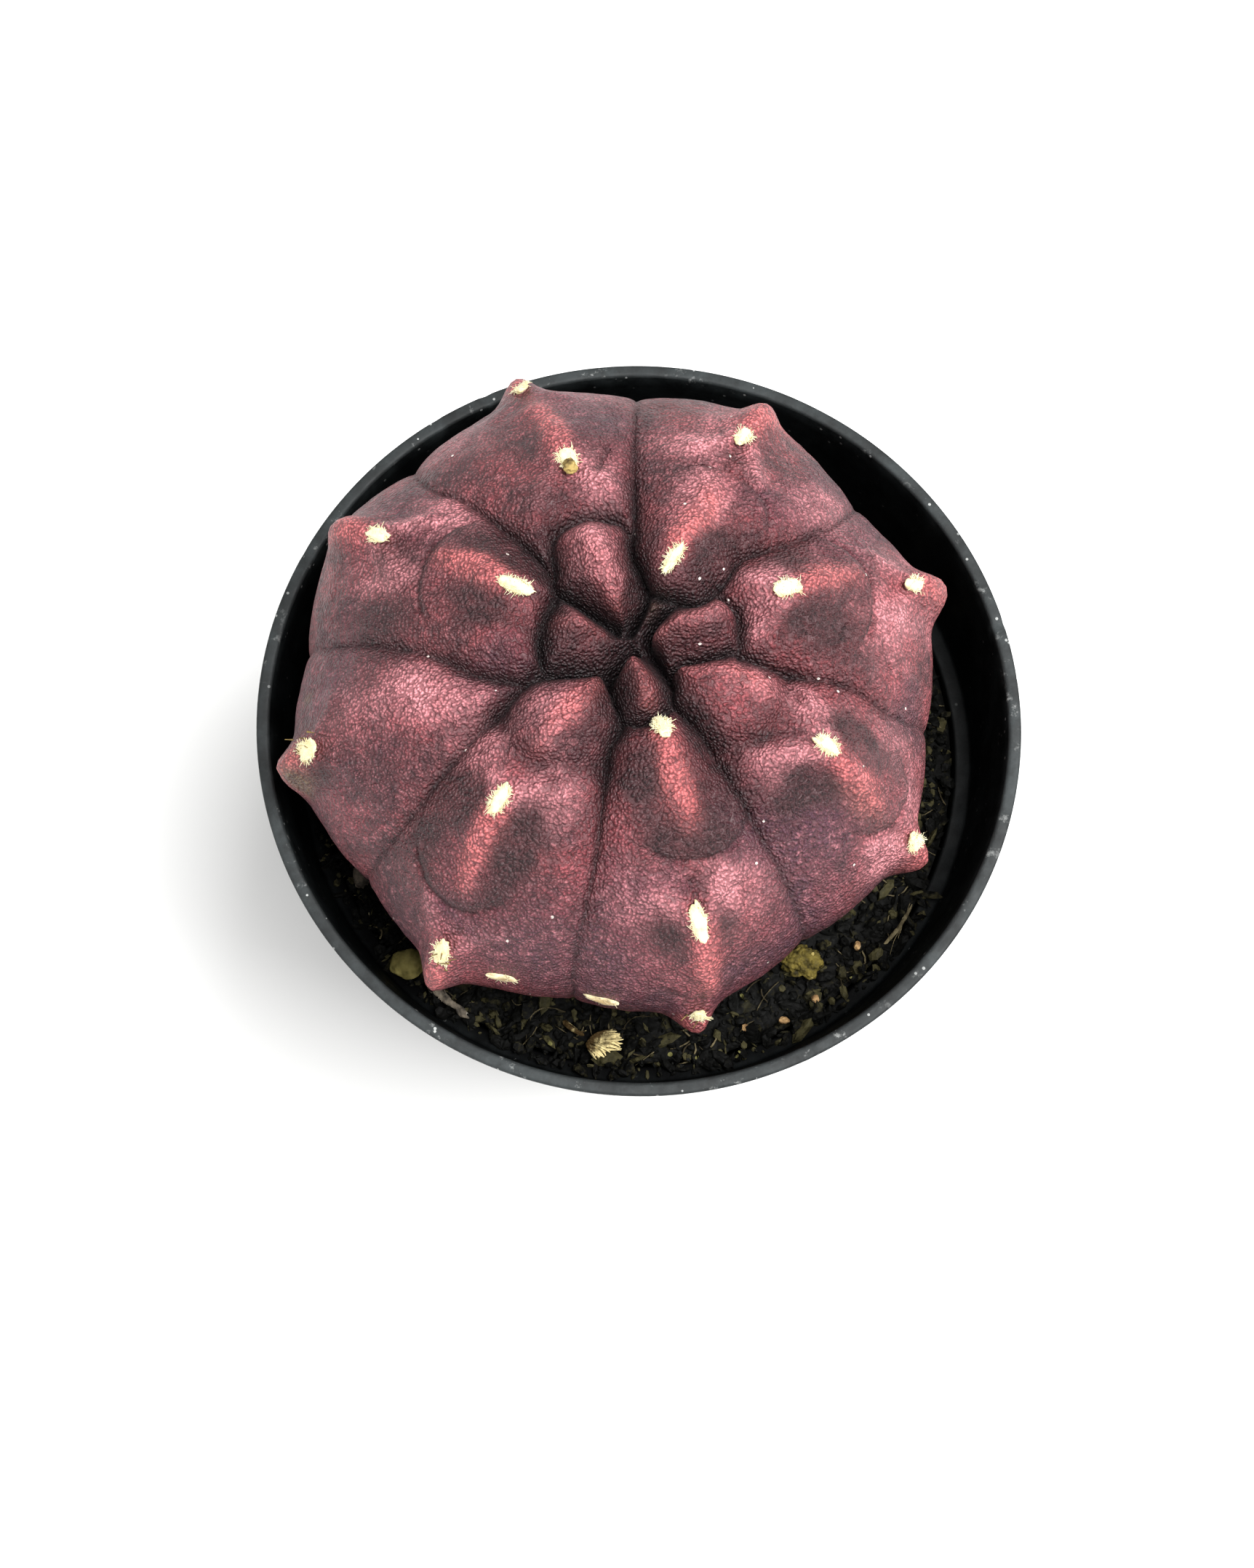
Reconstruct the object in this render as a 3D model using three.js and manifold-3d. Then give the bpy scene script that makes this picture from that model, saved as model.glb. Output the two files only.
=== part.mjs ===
// A small eight-ribbed globe cactus in a black nursery pot, in millimetres, +Z up.
// The origin is on the pot's axis, on the surface that the pot stands on.
// The cactus is drawn in polar form: a bearing in degrees round its crown, and a distance in
// millimetres along its skin from the crown.

import * as THREE from 'three';
import { mergeVertices } from 'three/addons/utils/BufferGeometryUtils.js';
import Module from 'manifold-3d';

// ---- driving dimensions ----
const TIP_RADIUS = 30.7; // crown axis to the rib tips
const PLANT_OFFSET_X = -2.2; // crown axis from the pot's axis
const PLANT_OFFSET_Y = 1.0;
const POT_HEIGHT = 62;
const RIM_WIDTH = 1.2;
const WALL = 1.1;
const COLLAR_HEIGHT = 11.5; // rim down to the stacking ledge
const COLLAR_DRAFT = 1.6; // how far the collar narrows on its way down
const LEDGE_WIDTH = 1.5;
const WALL_TAPER = 6.8; // how far the lower wall narrows down to the foot
const FOOT_WIDTH = 3.2;
const FOOT_HEIGHT = 1.4; // the floor plate stands this high off the surface
const FLOOR_THICKNESS = 1.2;
const EDGE_ROUND = 0.35;
const DRAIN_RADIUS = 2.5;
const DRAIN_COUNT = 5;
const DRAIN_MARGIN = 3.0; // plate left between a drain hole and the foot ring
const SOIL_BELOW_LEDGE = 0.5;
const ROOT_DEPTH = 3.5; // how deep the cactus sits in the soil
const FIT_GAP = 0.3; // between pieces that touch
const WOOL_HEIGHT = 0.7; // thickness of an areole's wool, and the room a rib tip has inside the rim

// ---- cactus, drawn at the size below and scaled to TIP_RADIUS ----
const DRAWN_TIP_RADIUS = 30.7;
const DRAWN_RADIUS = 28.6; // flanks between the tips
const EQUATOR_ABOVE_SOIL = 14;
const CROWN_RISE = 17.6; // equator up to the shoulders
const UNDER_DROP = 20; // half-axis of the underside
const CROWN_DIP = 3.0;
const CROWN_DIP_REACH = 5.5;
const DEEP_FURROW = 2.8; // furrow depth at the crown
const SHALLOW_FURROW = 0.5; // furrow depth at the equator
const FURROW_FADE = 18;
const FURROW_REACH = 2.2; // half-width of a furrow at the crown
const FURROW_SPREAD = 0.16; // how fast it widens on its way out
const RIB_BEARINGS = { a: 110, b: 66, c: 22, d: -25, e: -72, f: -117, g: -161, h: -205 };
const TIP_REACH = 15;
const RINGS = 25;
const SEGMENTS = 80;

// Furrows and cross creases, each a route of [bearing, distance from the crown].
const FURROWS = {
  a_b: [[54, 1], [63, 3], [77, 5.5], [86, 8], [87, 12], [89, 16.5], [90, 25], [90, 38], [89, 56]],
  b_c: [[64, 4.5], [41, 5.5], [29, 8], [35, 11.5], [40, 14], [37, 20], [38, 27], [43, 38], [44, 56]],
  c_d: [[-23, 3], [-24, 4.5], [-8, 8.5], [-4, 11], [-6, 15.5], [-5, 22], [-7, 29], [-3, 40], [-2, 56]],
  d_e: [[-23, 3], [-31, 5], [-46, 7], [-46, 12], [-49, 19], [-50, 28], [-50, 38], [-49, 56]],
  e_f: [[-60, 1], [-88, 2], [-84, 4], [-85, 7], [-93, 11], [-92, 20], [-94, 30], [-94, 40], [-94, 56]],
  f_g: [[-151, 9.3], [-145, 12], [-140, 18], [-137, 25], [-137, 33], [-139, 42], [-139, 56]],
  g_h: [[-151, 9.3], [-162, 13], [-174, 18], [-180, 27], [-182, 36], [-183, 56]],
  h_a: [[97, 1], [139, 4], [143, 6.5], [138, 9], [137, 12], [138, 20], [140, 27], [135, 38], [133, 56]],
  young_c: [[28, 10], [17, 11], [7, 11], [-4, 11]],
  young_e: [[-85, 7], [-70, 7.5], [-46, 7.5]],
  young_f: [[-88, 2], [-127, 3], [-145, 5], [-151, 9.3]],
  young_g: [[-145, 5], [-154, 6.5], [-173, 6.5], [-190, 6.3], [-215, 6.3]],
  young_a: [[138, 7], [127, 9], [122, 11], [108, 11], [92, 10.5], [87, 10]],
  newest: [[16, 1], [22, 2.7], [35, 5], [41, 5.5]],
};

// Areoles: rib, number from the crown, bearing, distance, half length along the rib, half width.
const AREOLES = [
  ['a', 1, 109, 17.8, 1.6, 1.0],
  ['a', 2, 112, 31.5, 1.1, 0.8],
  ['a', 3, 110, 48, 1.2, 0.8],
  ['b', 1, 59, 8.2, 1.5, 0.6],
  ['b', 2, 65, 23.8, 1.3, 0.8],
  ['b', 3, 66, 41, 1.3, 0.8],
  ['c', 1, 21, 15.1, 1.3, 0.9],
  ['c', 2, 20, 29.2, 1.5, 0.7],
  ['c', 3, 22, 44, 1.2, 0.8],
  ['d', 1, -23, 20.2, 1.3, 0.8],
  ['d', 2, -26, 33.5, 1.3, 0.8],
  ['d', 3, -25, 47.5, 1.2, 0.8],
  ['e', 1, -62, 9, 1.1, 0.8],
  ['e', 2, -70, 25.8, 1.8, 0.8],
  ['e', 3, -73, 35.9, 0.8, 0.7],
  ['e', 4, -72, 48.5, 1.2, 0.8],
  ['f', 1, -121, 17.5, 1.5, 0.8],
  ['f', 2, -117, 32, 1.5, 0.8],
  ['f', 3, -117, 45.5, 1.2, 0.8],
  ['g', 1, -160, 30, 1.2, 1.0],
  ['g', 2, -161, 43.5, 1.2, 0.8],
  ['h', 1, -201, 9.8, 1.7, 0.8],
  ['h', 2, -203, 24.4, 1.3, 0.8],
  ['h', 3, -205, 41, 1.3, 0.8],
];

// Old flattened areoles low on the flank between ribs e and f: bearing, distance, half sizes.
const OLD_AREOLES = [
  ['front', -89, 35.2, 0.5, 1.5],
  ['left', -106, 34, 0.5, 1.4],
];

// ---- derived sizes ----
const GROWTH = TIP_RADIUS / DRAWN_TIP_RADIUS;
const RIM_INNER = TIP_RADIUS + Math.hypot(PLANT_OFFSET_X, PLANT_OFFSET_Y) + WOOL_HEIGHT;
const RIM_RADIUS = RIM_INNER + RIM_WIDTH;
const LEDGE_HEIGHT = POT_HEIGHT - COLLAR_HEIGHT;
const LEDGE_OUTER = RIM_INNER - COLLAR_DRAFT;
const LEDGE_INNER = LEDGE_OUTER - LEDGE_WIDTH;
const FOOT_OUTER = LEDGE_INNER + WALL - WALL_TAPER;
const FOOT_INNER = FOOT_OUTER - FOOT_WIDTH;
const FLOOR_TOP = FOOT_HEIGHT + FLOOR_THICKNESS;
const FLOOR_INNER = FOOT_OUTER - WALL;
const DRAIN_CIRCLE = FOOT_INNER - DRAIN_MARGIN - DRAIN_RADIUS;
const SOIL_TOP = LEDGE_HEIGHT - SOIL_BELOW_LEDGE;

const COLOURS = {
  pot: new THREE.MeshStandardMaterial({ color: 0x1b1d1d, roughness: 0.5, metalness: 0 }),
  soil: new THREE.MeshStandardMaterial({ color: 0x17140f, roughness: 0.95, metalness: 0 }),
  skin: new THREE.MeshStandardMaterial({ color: 0x7a4456, roughness: 0.55, metalness: 0 }),
  wool: new THREE.MeshStandardMaterial({ color: 0xe6dcae, roughness: 0.9, metalness: 0 }),
  dry: new THREE.MeshStandardMaterial({ color: 0x9a8a5c, roughness: 0.85, metalness: 0 }),
  bark: new THREE.MeshStandardMaterial({ color: 0x5a4632, roughness: 0.9, metalness: 0 }),
  moss: new THREE.MeshStandardMaterial({ color: 0x5c6030, roughness: 0.95, metalness: 0 }),
  grit: new THREE.MeshStandardMaterial({ color: 0xb58a55, roughness: 0.8, metalness: 0 }),
};

const wasm = await Module();
wasm.setup();
const model = new THREE.Group();

function addPiece(name, geometry, material) {
  const mesh = new THREE.Mesh(geometry, material);
  mesh.name = name;
  model.add(mesh);
  return mesh;
}

function meshOf(positions, triangles) {
  const geometry = new THREE.BufferGeometry();
  geometry.setAttribute('position', new THREE.Float32BufferAttribute(positions.flat(), 3));
  geometry.setIndex(triangles);
  return geometry;
}

function welded(geometry) {
  const bare = geometry.clone();
  bare.deleteAttribute('normal');
  bare.deleteAttribute('uv');
  return mergeVertices(bare);
}

function solidOf(geometry) {
  const closed = welded(geometry);
  const vertProperties = new Float32Array(closed.getAttribute('position').array);
  const triVerts = new Uint32Array(closed.getIndex().array);
  return new wasm.Manifold(new wasm.Mesh({ numProp: 3, vertProperties, triVerts }));
}

function geometryOf(solid) {
  const mesh = solid.getMesh();
  const geometry = new THREE.BufferGeometry();
  geometry.setAttribute('position', new THREE.BufferAttribute(mesh.vertProperties, 3));
  geometry.setIndex(new THREE.BufferAttribute(mesh.triVerts, 1));
  return geometry;
}

// A turned piece. The outline lists [radius, height] upwards on the outside, from axis to axis.
function turned(outline, segments) {
  const points = outline.map(([radius, height]) => new THREE.Vector2(radius, height));
  const geometry = new THREE.LatheGeometry(points, segments);
  geometry.rotateX(Math.PI / 2);
  return geometry;
}

// ---- pot: rim, collar, ledge, lower wall, floor plate and foot ring ----
function potGeometry() {
  const outline = [
    [0, FOOT_HEIGHT],
    [FOOT_INNER, FOOT_HEIGHT],
    [FOOT_INNER, 0],
    [FOOT_OUTER - EDGE_ROUND, 0],
    [FOOT_OUTER, EDGE_ROUND],
    [LEDGE_INNER + WALL, LEDGE_HEIGHT - WALL],
    [LEDGE_OUTER + WALL - EDGE_ROUND, LEDGE_HEIGHT - WALL],
    [LEDGE_OUTER + WALL, LEDGE_HEIGHT - WALL + EDGE_ROUND],
    [RIM_RADIUS, POT_HEIGHT - EDGE_ROUND],
    [RIM_RADIUS - EDGE_ROUND, POT_HEIGHT],
    [RIM_INNER + EDGE_ROUND, POT_HEIGHT],
    [RIM_INNER, POT_HEIGHT - EDGE_ROUND],
    [LEDGE_OUTER, LEDGE_HEIGHT],
    [LEDGE_INNER, LEDGE_HEIGHT],
    [FLOOR_INNER, FLOOR_TOP],
    [0, FLOOR_TOP],
  ];
  let pot = solidOf(turned(outline, 64));
  const drill = new THREE.CylinderGeometry(DRAIN_RADIUS, DRAIN_RADIUS, FLOOR_TOP * 3, 16);
  drill.rotateX(Math.PI / 2);
  pot = pot.subtract(solidOf(drill));
  for (let i = 0; i < DRAIN_COUNT; i += 1) {
    const turn = (i / DRAIN_COUNT) * 2 * Math.PI;
    const hole = drill.clone();
    hole.translate(DRAIN_CIRCLE * Math.cos(turn), DRAIN_CIRCLE * Math.sin(turn), 0);
    pot = pot.subtract(solidOf(hole));
  }
  return geometryOf(pot);
}

// ---- cactus body ----
// The meridian is half an ellipse above the equator and another below it, with a dip at the
// crown. It is walked in small steps, which gives the distance along the skin from the crown.
const MERIDIAN = [];
{
  const steps = 1200;
  const base = -ROOT_DEPTH / GROWTH;
  let distance = 0;
  for (let i = 0; i <= steps; i += 1) {
    const angle = (i / steps) * Math.PI;
    const radius = DRAWN_RADIUS * Math.sin(angle);
    const above = angle < Math.PI / 2;
    const dip = above ? CROWN_DIP * Math.exp(-((radius / CROWN_DIP_REACH) ** 2)) : 0;
    const height = EQUATOR_ABOVE_SOIL + (above ? CROWN_RISE : UNDER_DROP) * Math.cos(angle) - dip;
    const last = MERIDIAN.at(-1);
    if (last) distance += Math.hypot(radius - last.radius, height - last.height);
    MERIDIAN.push({ distance, radius, height });
    if (!above && height < base) break;
  }
}

function meridianAt(distance) {
  const index = MERIDIAN.findIndex((point) => point.distance >= distance);
  const upper = index < 0 ? MERIDIAN.length - 1 : Math.max(1, index);
  const [near, far] = [MERIDIAN[upper - 1], MERIDIAN[upper]];
  const share = (distance - near.distance) / (far.distance - near.distance);
  return {
    radius: near.radius + share * (far.radius - near.radius),
    height: near.height + share * (far.height - near.height),
    outward: Math.max(-1, Math.min(1, (near.height - far.height) / (far.distance - near.distance))),
    upward: (far.radius - near.radius) / (far.distance - near.distance),
  };
}

function flat(bearing, distance) {
  const angle = THREE.MathUtils.degToRad(bearing);
  return new THREE.Vector3(distance * Math.cos(angle), distance * Math.sin(angle), 0);
}

function distanceToRoute(place, route) {
  const nearest = new THREE.Vector3();
  let least = Infinity;
  for (let i = 1; i < route.length; i += 1) {
    const line = new THREE.Line3(flat(...route[i - 1]), flat(...route[i]));
    line.closestPointToPoint(place, true, nearest);
    least = Math.min(least, nearest.distanceTo(place));
  }
  return least;
}

// How far the skin stands off the meridian's surface: rib tips out, furrows in.
function relief(bearing, distance) {
  const place = flat(bearing, distance);
  const fade = Math.exp(-((distance / FURROW_FADE) ** 2));
  const depth = SHALLOW_FURROW + (DEEP_FURROW - SHALLOW_FURROW) * fade;
  const reach = FURROW_REACH + FURROW_SPREAD * distance;
  let furrow = 0;
  for (const route of Object.values(FURROWS)) {
    const closeness = Math.max(0, 1 - distanceToRoute(place, route) / reach);
    furrow += (depth * closeness ** 2) ** 3;
  }
  const rise = THREE.MathUtils.smoothstep(distance, 18, 36);
  let tip = 0;
  for (const rib of Object.values(RIB_BEARINGS)) {
    const ridge = distanceToRoute(place, [[rib, 0], [rib, 60]]);
    tip = Math.max(tip, Math.max(0, 1 - ridge / TIP_REACH) ** 2);
  }
  return (DRAWN_TIP_RADIUS - DRAWN_RADIUS) * rise * tip - Math.cbrt(furrow);
}

// A point of the skin, or lifted off it.
function skinPoint(bearing, distance, lift = 0) {
  const { radius, height, outward, upward } = meridianAt(distance);
  const off = relief(bearing, distance) + lift / GROWTH;
  const angle = THREE.MathUtils.degToRad(bearing);
  const reach = Math.max(0, radius + off * outward) * GROWTH;
  return [
    PLANT_OFFSET_X + reach * Math.cos(angle),
    PLANT_OFFSET_Y + reach * Math.sin(angle),
    SOIL_TOP + (height + off * upward) * GROWTH,
  ];
}

const BASE_DISTANCE = MERIDIAN.at(-1).distance;

// Joins rings of equal count into a closed skin between two poles, faces outwards when the
// rings run from the first pole to the last anticlockwise seen from the first pole.
function closedRings(firstPole, rings, lastPole) {
  const count = rings[0].length;
  const positions = [firstPole, ...rings.flat(), lastPole];
  const triangles = [];
  const at = (ring, i) => 1 + ring * count + (i % count);
  for (let i = 0; i < count; i += 1) {
    triangles.push(0, at(0, i), at(0, i + 1));
    for (let ring = 0; ring + 1 < rings.length; ring += 1) {
      triangles.push(at(ring, i), at(ring + 1, i), at(ring + 1, i + 1));
      triangles.push(at(ring, i), at(ring + 1, i + 1), at(ring, i + 1));
    }
    triangles.push(at(rings.length - 1, i), positions.length - 1, at(rings.length - 1, i + 1));
  }
  return meshOf(positions, triangles);
}

function cactusRings() {
  const rings = [];
  for (let ring = 1; ring <= RINGS; ring += 1) {
    const points = [];
    for (let i = 0; i < SEGMENTS; i += 1) {
      points.push(skinPoint((i / SEGMENTS) * 360, (ring / RINGS) * BASE_DISTANCE));
    }
    rings.push(points);
  }
  return rings;
}

function cactusGeometry(rings) {
  const crown = skinPoint(0, 0);
  const last = rings.at(-1);
  const root = [PLANT_OFFSET_X, PLANT_OFFSET_Y, last[0][2]];
  return closedRings(crown, rings, root);
}

// ---- areoles: a domed pad of wool that follows the skin ----
function areoleGeometry(bearing, distance, halfLength, halfWidth, height) {
  const sides = 10;
  const { radius } = meridianAt(distance);
  const ring = (share, lift) => {
    const points = [];
    for (let i = 0; i < sides; i += 1) {
      const turn = (i / sides) * 2 * Math.PI;
      const along = halfLength * share * Math.cos(turn);
      const across = halfWidth * share * Math.sin(turn);
      const swing = THREE.MathUtils.radToDeg(across / radius);
      points.push(skinPoint(bearing + swing, distance + along, lift));
    }
    return points;
  };
  const rings = [
    ring(0.6, FIT_GAP + 0.8 * height),
    ring(1, FIT_GAP + 0.3 * height),
    ring(0.9, FIT_GAP),
  ];
  return closedRings(
    skinPoint(bearing, distance, FIT_GAP + height),
    rings,
    skinPoint(bearing, distance, FIT_GAP),
  );
}

// ---- soil, with the pocket that the cactus sits in ----
function soilGeometry(rings) {
  const draft = (LEDGE_INNER - FLOOR_INNER) / (LEDGE_HEIGHT - FLOOR_TOP);
  const bottom = FLOOR_TOP + FIT_GAP;
  const innerWall = (height) => FLOOR_INNER + (height - FLOOR_TOP) * draft - FIT_GAP;
  const outline = [
    [0, bottom],
    [innerWall(bottom), bottom],
    [innerWall(SOIL_TOP), SOIL_TOP],
    [0, SOIL_TOP],
  ];
  const soil = solidOf(turned(outline, 64));
  const widest = (ring) => Math.max(
    ...ring.map(([x, y]) => Math.hypot(x - PLANT_OFFSET_X, y - PLANT_OFFSET_Y)),
  );
  const lowest = (ring) => Math.min(...ring.map(([, , z]) => z));
  const pocketOutline = [[0, lowest(rings.at(-1)) - FIT_GAP]];
  for (const ring of rings.toReversed()) {
    pocketOutline.push([widest(ring) + 2 * FIT_GAP, lowest(ring) - FIT_GAP]);
    if (lowest(ring) - FIT_GAP > SOIL_TOP) break;
  }
  pocketOutline.push([0, pocketOutline.at(-1)[1]]);
  const pocket = turned(pocketOutline, SEGMENTS);
  pocket.translate(PLANT_OFFSET_X, PLANT_OFFSET_Y, 0);
  return geometryOf(soil.subtract(solidOf(pocket)));
}

// ---- things lying on the soil ----
// A place on the soil: bearing round the pot's axis and space left to the wall below the ledge.
function onSoil(bearing, inset, height) {
  const angle = THREE.MathUtils.degToRad(bearing);
  const radius = LEDGE_INNER - inset;
  return new THREE.Vector3(radius * Math.cos(angle), radius * Math.sin(angle), SOIL_TOP + FIT_GAP + height);
}

// An irregular rounded lump: a faceted ball whose corners are pushed in and out in turn.
function lumpGeometry(place, [sizeX, sizeY, sizeZ], turn, roughness) {
  const lump = welded(new THREE.IcosahedronGeometry(1, 1));
  const corners = lump.getAttribute('position');
  for (let i = 0; i < corners.count; i += 1) {
    const corner = new THREE.Vector3().fromBufferAttribute(corners, i);
    corner.multiplyScalar(1 - roughness * (0.5 + 0.5 * Math.sin(i * 2.4)));
    corners.setXYZ(i, corner.x, corner.y, corner.z);
  }
  lump.scale(sizeX / 2, sizeY / 2, sizeZ / 2);
  lump.rotateZ(THREE.MathUtils.degToRad(turn));
  lump.translate(place.x, place.y, place.z + sizeZ / 2);
  return lump;
}

// A round or flattened strand along a smooth route.
function strandGeometry(places, halfWidth, halfHeight) {
  const route = new THREE.CatmullRomCurve3(places);
  const section = new THREE.Shape();
  section.absellipse(0, 0, halfHeight, halfWidth, 0, 2 * Math.PI);
  return welded(new THREE.ExtrudeGeometry(section, { steps: 10, curveSegments: 3, extrudePath: route }));
}

// A flat chip: a five-cornered outline with some thickness, tilted a little.
function chipGeometry(place, length, width, thickness, turn) {
  const outline = new THREE.Shape([
    new THREE.Vector2(-length / 2, -width / 2),
    new THREE.Vector2(length / 3, -width / 2),
    new THREE.Vector2(length / 2, 0),
    new THREE.Vector2(length / 4, width / 2),
    new THREE.Vector2(-length / 2, width / 3),
  ]);
  const chip = new THREE.ExtrudeGeometry(outline, { depth: thickness, bevelEnabled: false });
  chip.rotateZ(THREE.MathUtils.degToRad(turn));
  chip.translate(place.x, place.y, place.z);
  return chip;
}

// ---- assembly ----
const rings = cactusRings();
addPiece('nursery_pot', potGeometry(), COLOURS.pot);
addPiece('cactus_body', cactusGeometry(rings), COLOURS.skin);
addPiece('potting_soil', soilGeometry(rings), COLOURS.soil);

for (const [rib, number, bearing, distance, halfLength, halfWidth] of AREOLES) {
  const wool = areoleGeometry(bearing, distance, halfLength, halfWidth, WOOL_HEIGHT);
  addPiece(`areole_${rib}_${number}`, wool, COLOURS.wool);
}
for (const [side, bearing, distance, halfLength, halfWidth] of OLD_AREOLES) {
  const scale = areoleGeometry(bearing, distance, halfLength, halfWidth, WOOL_HEIGHT / 2);
  addPiece(`old_areole_${side}`, scale, COLOURS.wool);
}

const CHIP_HEIGHT = 0.7; // bark chips
const ABOVE_LEDGE = SOIL_BELOW_LEDGE + FIT_GAP; // for what lies partly over the ledge
addPiece('dried_flower', lumpGeometry(onSoil(-91, 2.2, 0), [3.4, 2.2, 1.8], -12, 0.25), COLOURS.dry);
addPiece(
  'dried_flower_stalk',
  strandGeometry([onSoil(-101, 3.4, 0.5), onSoil(-98.5, 2.6, 1.1), onSoil(-96, 2.4, 0.6)], 0.32, 0.32),
  COLOURS.dry,
);
addPiece('moss_clump_left', lumpGeometry(onSoil(-131.5, 2.4, 0), [3.4, 2.4, 1.6], 35, 0.15), COLOURS.moss);
addPiece('moss_clump_right', lumpGeometry(onSoil(-49, 3.4, 0), [4.6, 2.2, 1.3], 38, 0.2), COLOURS.moss);
addPiece(
  'bark_strip',
  strandGeometry([
    onSoil(-126, 1.6, ABOVE_LEDGE),
    onSoil(-120, 1.4, ABOVE_LEDGE + 0.2),
    onSoil(-114.5, 1.2, ABOVE_LEDGE),
  ], 0.8, 0.35),
  COLOURS.bark,
);
addPiece('bark_chip_back', chipGeometry(onSoil(41, 0.6, ABOVE_LEDGE), 2.2, 1.8, CHIP_HEIGHT, 20), COLOURS.bark);
addPiece('bark_chip_right', chipGeometry(onSoil(29, 0.7, ABOVE_LEDGE), 1.9, 1.5, CHIP_HEIGHT, 70), COLOURS.bark);
addPiece('bark_chip_left', chipGeometry(onSoil(-150, 1.6, ABOVE_LEDGE), 2.4, 1.2, CHIP_HEIGHT, 115), COLOURS.bark);
addPiece(
  'root_fibre_right',
  strandGeometry([
    onSoil(-26, 0.6, ABOVE_LEDGE),
    onSoil(-32, 0.4, ABOVE_LEDGE + 0.4),
    onSoil(-38, 0.7, ABOVE_LEDGE),
  ], 0.3, 0.25),
  COLOURS.dry,
);
addPiece(
  'root_fibre_back',
  strandGeometry([onSoil(38, 0.8, ABOVE_LEDGE), onSoil(35, 0.3, ABOVE_LEDGE + 0.5), onSoil(32.5, 0.9, ABOVE_LEDGE)], 0.25, 0.25),
  COLOURS.dry,
);

// Grit: bearing, inset from the wall, size.
const GRIT = [
  [-59, 0.9, 1.1],
  [-52, 1.2, 0.9],
  [-39.5, 2.4, 1.0],
  [-66, 1.8, 0.8],
  [-145, 3.4, 0.9],
];
GRIT.forEach(([bearing, inset, size], i) => {
  const grain = lumpGeometry(onSoil(bearing, inset, ABOVE_LEDGE), [size, size * 0.8, size * 0.7], i * 50, 0.2);
  addPiece(`grit_grain_${i + 1}`, grain, COLOURS.grit);
});

export default model;
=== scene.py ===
"""The looks of a small potted round cactus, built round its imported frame.

Shapes are worked out in millimetres as numpy arrays and put into meshes in metres.
The cactus is drawn in polar form: a bearing in degrees round its crown, and a distance in
millimetres along its skin from the crown. Every piece rides on the one body, "root".
"""

import logging
import math
from dataclasses import dataclass, field
from enum import Enum

import bpy
import numpy as np
from mathutils import Matrix, Vector


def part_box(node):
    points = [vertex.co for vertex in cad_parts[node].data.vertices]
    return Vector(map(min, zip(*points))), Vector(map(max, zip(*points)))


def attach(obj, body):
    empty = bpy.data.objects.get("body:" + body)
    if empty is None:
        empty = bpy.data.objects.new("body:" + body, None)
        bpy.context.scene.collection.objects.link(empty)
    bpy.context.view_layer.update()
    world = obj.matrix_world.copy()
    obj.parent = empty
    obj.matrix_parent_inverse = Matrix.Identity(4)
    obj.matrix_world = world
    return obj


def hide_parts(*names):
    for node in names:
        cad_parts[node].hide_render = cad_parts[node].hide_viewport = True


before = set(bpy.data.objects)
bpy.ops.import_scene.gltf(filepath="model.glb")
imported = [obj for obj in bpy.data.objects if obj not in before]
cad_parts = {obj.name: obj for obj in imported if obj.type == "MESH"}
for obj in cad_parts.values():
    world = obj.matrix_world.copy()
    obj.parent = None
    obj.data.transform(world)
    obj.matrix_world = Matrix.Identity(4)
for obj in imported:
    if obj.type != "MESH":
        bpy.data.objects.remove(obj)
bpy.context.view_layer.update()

LOG = logging.getLogger("potted_cactus")
MM = 0.001
BODY = "root"


# ---------------------------------------------------------------- numbers and meshes

def smooth_step(low: float, high: float, value: np.ndarray) -> np.ndarray:
    """An S-shaped ramp from 0 at low to 1 at high.

    Args:
        low: where the ramp starts.
        high: where it ends.
        value: the numbers to place on the ramp.

    Returns:
        3 t squared minus 2 t cubed, with t the clamped share of the way.
    """
    t = np.clip((value - low) / (high - low), 0.0, 1.0)
    return t * t * (3.0 - 2.0 * t)


def bell(away: np.ndarray, width: float | np.ndarray) -> np.ndarray:
    """A bell curve of a distance: e to the minus (away / width) squared."""
    return np.exp(-((away / width) ** 2))


def lattice_noise(points: np.ndarray, cell: float, seed: int) -> np.ndarray:
    """Smooth noise from -1 to 1: hashed values on a cubic lattice, blended by smooth steps.

    Args:
        points: places, one row each.
        cell: the lattice's spacing, in the points' unit.
        seed: picks one noise out of many.

    Returns:
        One value for each place.
    """
    scaled = points / cell + seed * 17.13
    base = np.floor(scaled).astype(np.int64)
    part = scaled - base
    part = part * part * (3.0 - 2.0 * part)
    total = np.zeros(len(points))
    for corner in np.ndindex(2, 2, 2):
        node = base + np.array(corner)
        key = node[:, 0] * 374761393 + node[:, 1] * 668265263 + node[:, 2] * 1274126177 + seed * 144269
        key &= 0xFFFFFFFF
        key = ((key ^ (key >> 13)) * 1103515245) & 0xFFFFFFFF
        value = ((key ^ (key >> 16)) & 0xFFFF) / 32767.5 - 1.0
        weight = np.prod(np.where(corner, part, 1.0 - part), axis=1)
        total += value * weight
    return total


def fractal_noise(points: np.ndarray, cell: float, seed: int, octaves: int = 3) -> np.ndarray:
    """Lattice noise summed over halving cells, each octave half as strong as the last.

    Args:
        points: places, one row each.
        cell: the coarsest spacing.
        seed: picks one noise out of many.
        octaves: how many layers are summed.

    Returns:
        One value for each place, about -1 to 1.
    """
    total = np.zeros(len(points))
    for octave in range(octaves):
        total += lattice_noise(points, cell / 2**octave, seed + octave) / 2**octave
    return total / 1.5


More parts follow.
